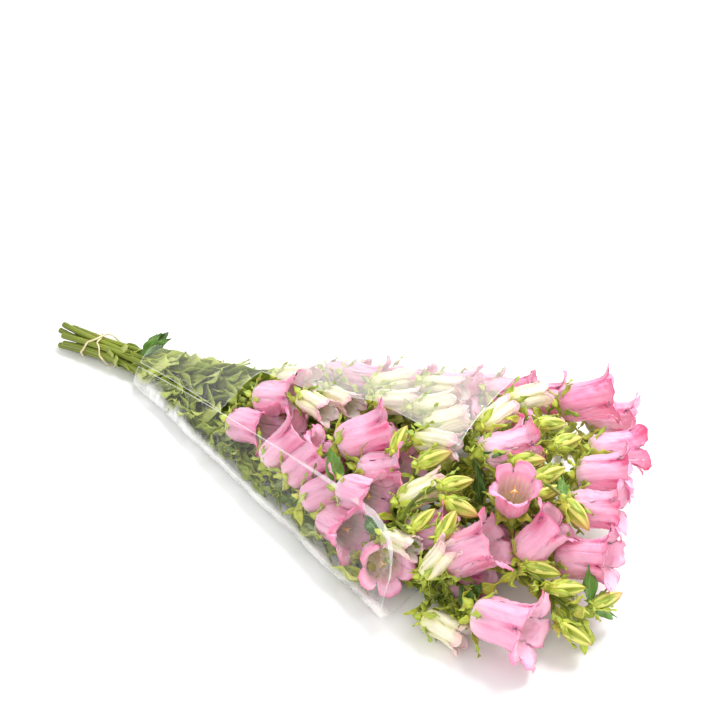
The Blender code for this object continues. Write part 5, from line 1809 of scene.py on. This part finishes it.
def photo_camera():
    """The photograph's camera: to the bunch's right, above it, looking along it towards the flowers."""
    turn, drop = math.radians(CAMERA_TURN), math.radians(CAMERA_DROP)
    look = Vector((-math.sin(turn) * math.cos(drop), math.cos(turn) * math.cos(drop), -math.sin(drop)))
    data = bpy.data.cameras.new("photo camera")
    data.lens, data.sensor_width = CAMERA_LENS, 36.0
    data.clip_start, data.clip_end = 0.01, 50.0
    camera = bpy.data.objects.new("photo camera", data)
    camera.location = CAMERA_PLACE
    camera.rotation_euler = look.to_track_quat("-Z", "Y").to_euler()
    bpy.context.scene.collection.objects.link(camera)
    bpy.context.scene.camera = camera


# The bunch


def settle_in(piece, node):
    """The piece rides with the bunch and stands for a node."""
    above_floor(piece)
    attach(piece, "root")
    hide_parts(node)


def dress_flowers(base, tip, veins):
    """The petals of every open and half-open bell, and the open bells' pistils."""
    rule = petal_rule()
    sides = {
        "bell": (petal_outside(veins), petal_inside(veins)),
        "half_open": (half_open_outside(veins), half_open_inside(veins)),
    }
    style = pistil_finish("style and stamens", (240, 236, 200), (224, 214, 160), 0.5)
    stigma = pistil_finish("stigma", (238, 196, 70), (224, 150, 48), 0.6)
    counts = {"bell": 0, "half_open": 0}
    for i, (_, stage, _, _, _, size) in enumerate(FLOWERS):
        if stage == "bud":
            continue
        counts[stage] += 1
        node = f"{stage}_{counts[stage]:02d}"
        settle_in(petals(rule, i, node, base[i], tip[i], *sides[stage]), node)
        if stage == "bell":
            heart = Piece()
            add_pistil(heart, (base[i], tip[i], ROLLS[i], size), BELL_LENGTH, 0.5, random.Random(300 + i))
            settle_in(make(heart, f"{node}_pistil", [style, stigma]), node)


def leaf_greens():
    """The finishes of each kind of leaf: its face and its back."""
    dark = leaf_face("dark leaf", (44, 84, 22), (92, 136, 44), (136, 164, 84))
    return {
        "leaf": (
            leaf_face("leaf face", (84, 116, 16), (170, 182, 52), (202, 208, 108)),
            leaf_face("leaf back", (136, 156, 56), (184, 194, 88), (210, 214, 132)),
        ),
        "young": (
            leaf_face("young leaf face", (132, 158, 24), (204, 212, 66), (220, 224, 122)),
            leaf_face("young leaf back", (150, 168, 54), (200, 206, 88), (216, 220, 128)),
        ),
        "broad": (
            leaf_face("broad leaf face", (90, 116, 28), (168, 180, 66), (204, 210, 114)),
            leaf_face("broad leaf back", (142, 156, 62), (184, 193, 96), (210, 214, 130)),
        ),
        "dark": (dark, dark),
    }


def cups_and_buds(mine, base, tip, draw, name, finishes):
    """The cups of a stem's calyxes, and its closed buds."""
    cups = Piece()
    for i in mine:
        stage, where = FLOWERS[i][1], (base[i], tip[i], ROLLS[i], FLOWERS[i][5])
        shade = draw.random()
        cup, own = turned(CUPS[stage][::-1], 20, lambda turn, t: 1 + 0.05 * np.cos(LOBES * turn))
        own[..., 1:] = 0.1
        cups.shell(put(cup, *where), own, shade, 0)
        if stage == "bud":
            add_bud(cups, where, shade, draw)
    return make(cups, name, finishes)


def dress_stems(paths, base, tip, stalks, leaves):
    """Each stem with its stalks, its leaves of every kind, and the green parts of its flowers."""
    blades, rods, greens = blade_rule(), rod_rule(), leaf_greens()
    green, calyx, bud = stem_green(), calyx_green(), bud_green()
    balls = flowers_as_balls(base, tip)
    broad, small = extra_leaves(paths, balls)
    tip = show_mouths(base, tip)
    shoots, shoot_leaves = side_shoots(paths, flowers_as_balls(base, tip))
    dark = dark_leaves(paths, stalks)
    for name in STEMS:
        node, number, draw = f"stem_{name}", int(name), random.Random(500 + int(name))
        mine = [i for i, flower in enumerate(FLOWERS) if flower[0] == name]
        rod_piece = stem_rods(rods, name, paths[name], [stalks[i] for i in mine], shoots[name], green)
        settle_in(rod_piece, node)
        young = [b for i in mine for b in bracts(i, stalks[i], balls, draw)]
        young += [leaf for leaf in small[name] if leaf[0][0] > YOUNG_LEAVES_START]
        little = [leaf for leaf in small[name] if leaf[0][0] <= YOUNG_LEAVES_START] + shoot_leaves[name]
        sepals = [b for i in mine for b in calyx_blades(SEPALS, i, base[i], tip[i], draw, 1)]
        flaps = [b for i in mine for b in calyx_blades(FLAPS, i, base[i], tip[i], draw, 0)]
        for title, grown, seed, (front, back), shape in (
            ("leaves", [leaf[:5] for leaf in leaves[name]], 40, greens["leaf"], LARGE_LEAF_SHAPE),
            ("broad_leaves", broad[name], 50, greens["broad"], BROAD_LEAF_SHAPE),
            ("small_leaves", little, 60, greens["leaf"], SMALL_LEAF_SHAPE),
            ("young_leaves", young, 70, greens["young"], SMALL_LEAF_SHAPE),
            ("dark_leaves", dark[name], 20, greens["dark"], DARK_LEAF_SHAPE),
            ("sepals", sepals, 80, (calyx, calyx), SEPAL_SHAPE),
            ("flaps", flaps, 90, (calyx, calyx), FLAP_SHAPE),
        ):
            if grown:
                shape = dict(shape, Front=front, Back=back)
                piece = grow_blades(blades, grown, f"{node}_{title}", seed + number, **shape)
                settle_in(piece, node)
        cups = cups_and_buds(mine, base, tip, draw, f"{node}_cups_and_buds", [calyx, bud])
        settle_in(cups, node)
    return rods


def dress():
    """Every piece of the bunch."""
    paths, base, tip, stalks, leaves = lay_out()
    dress_flowers(base, show_mouths(base, tip), petal_veins())
    rods = dress_stems(paths, base, tip, stalks, leaves)
    film = make_film(clear_film())
    settle_in(film, "wrap")
    settle_in(band_loop(rods, pale_elastic()), "band")


bpy.context.scene.view_settings.view_transform = "Standard"
photo_camera()
pale_floor()
studio_light()
dress()
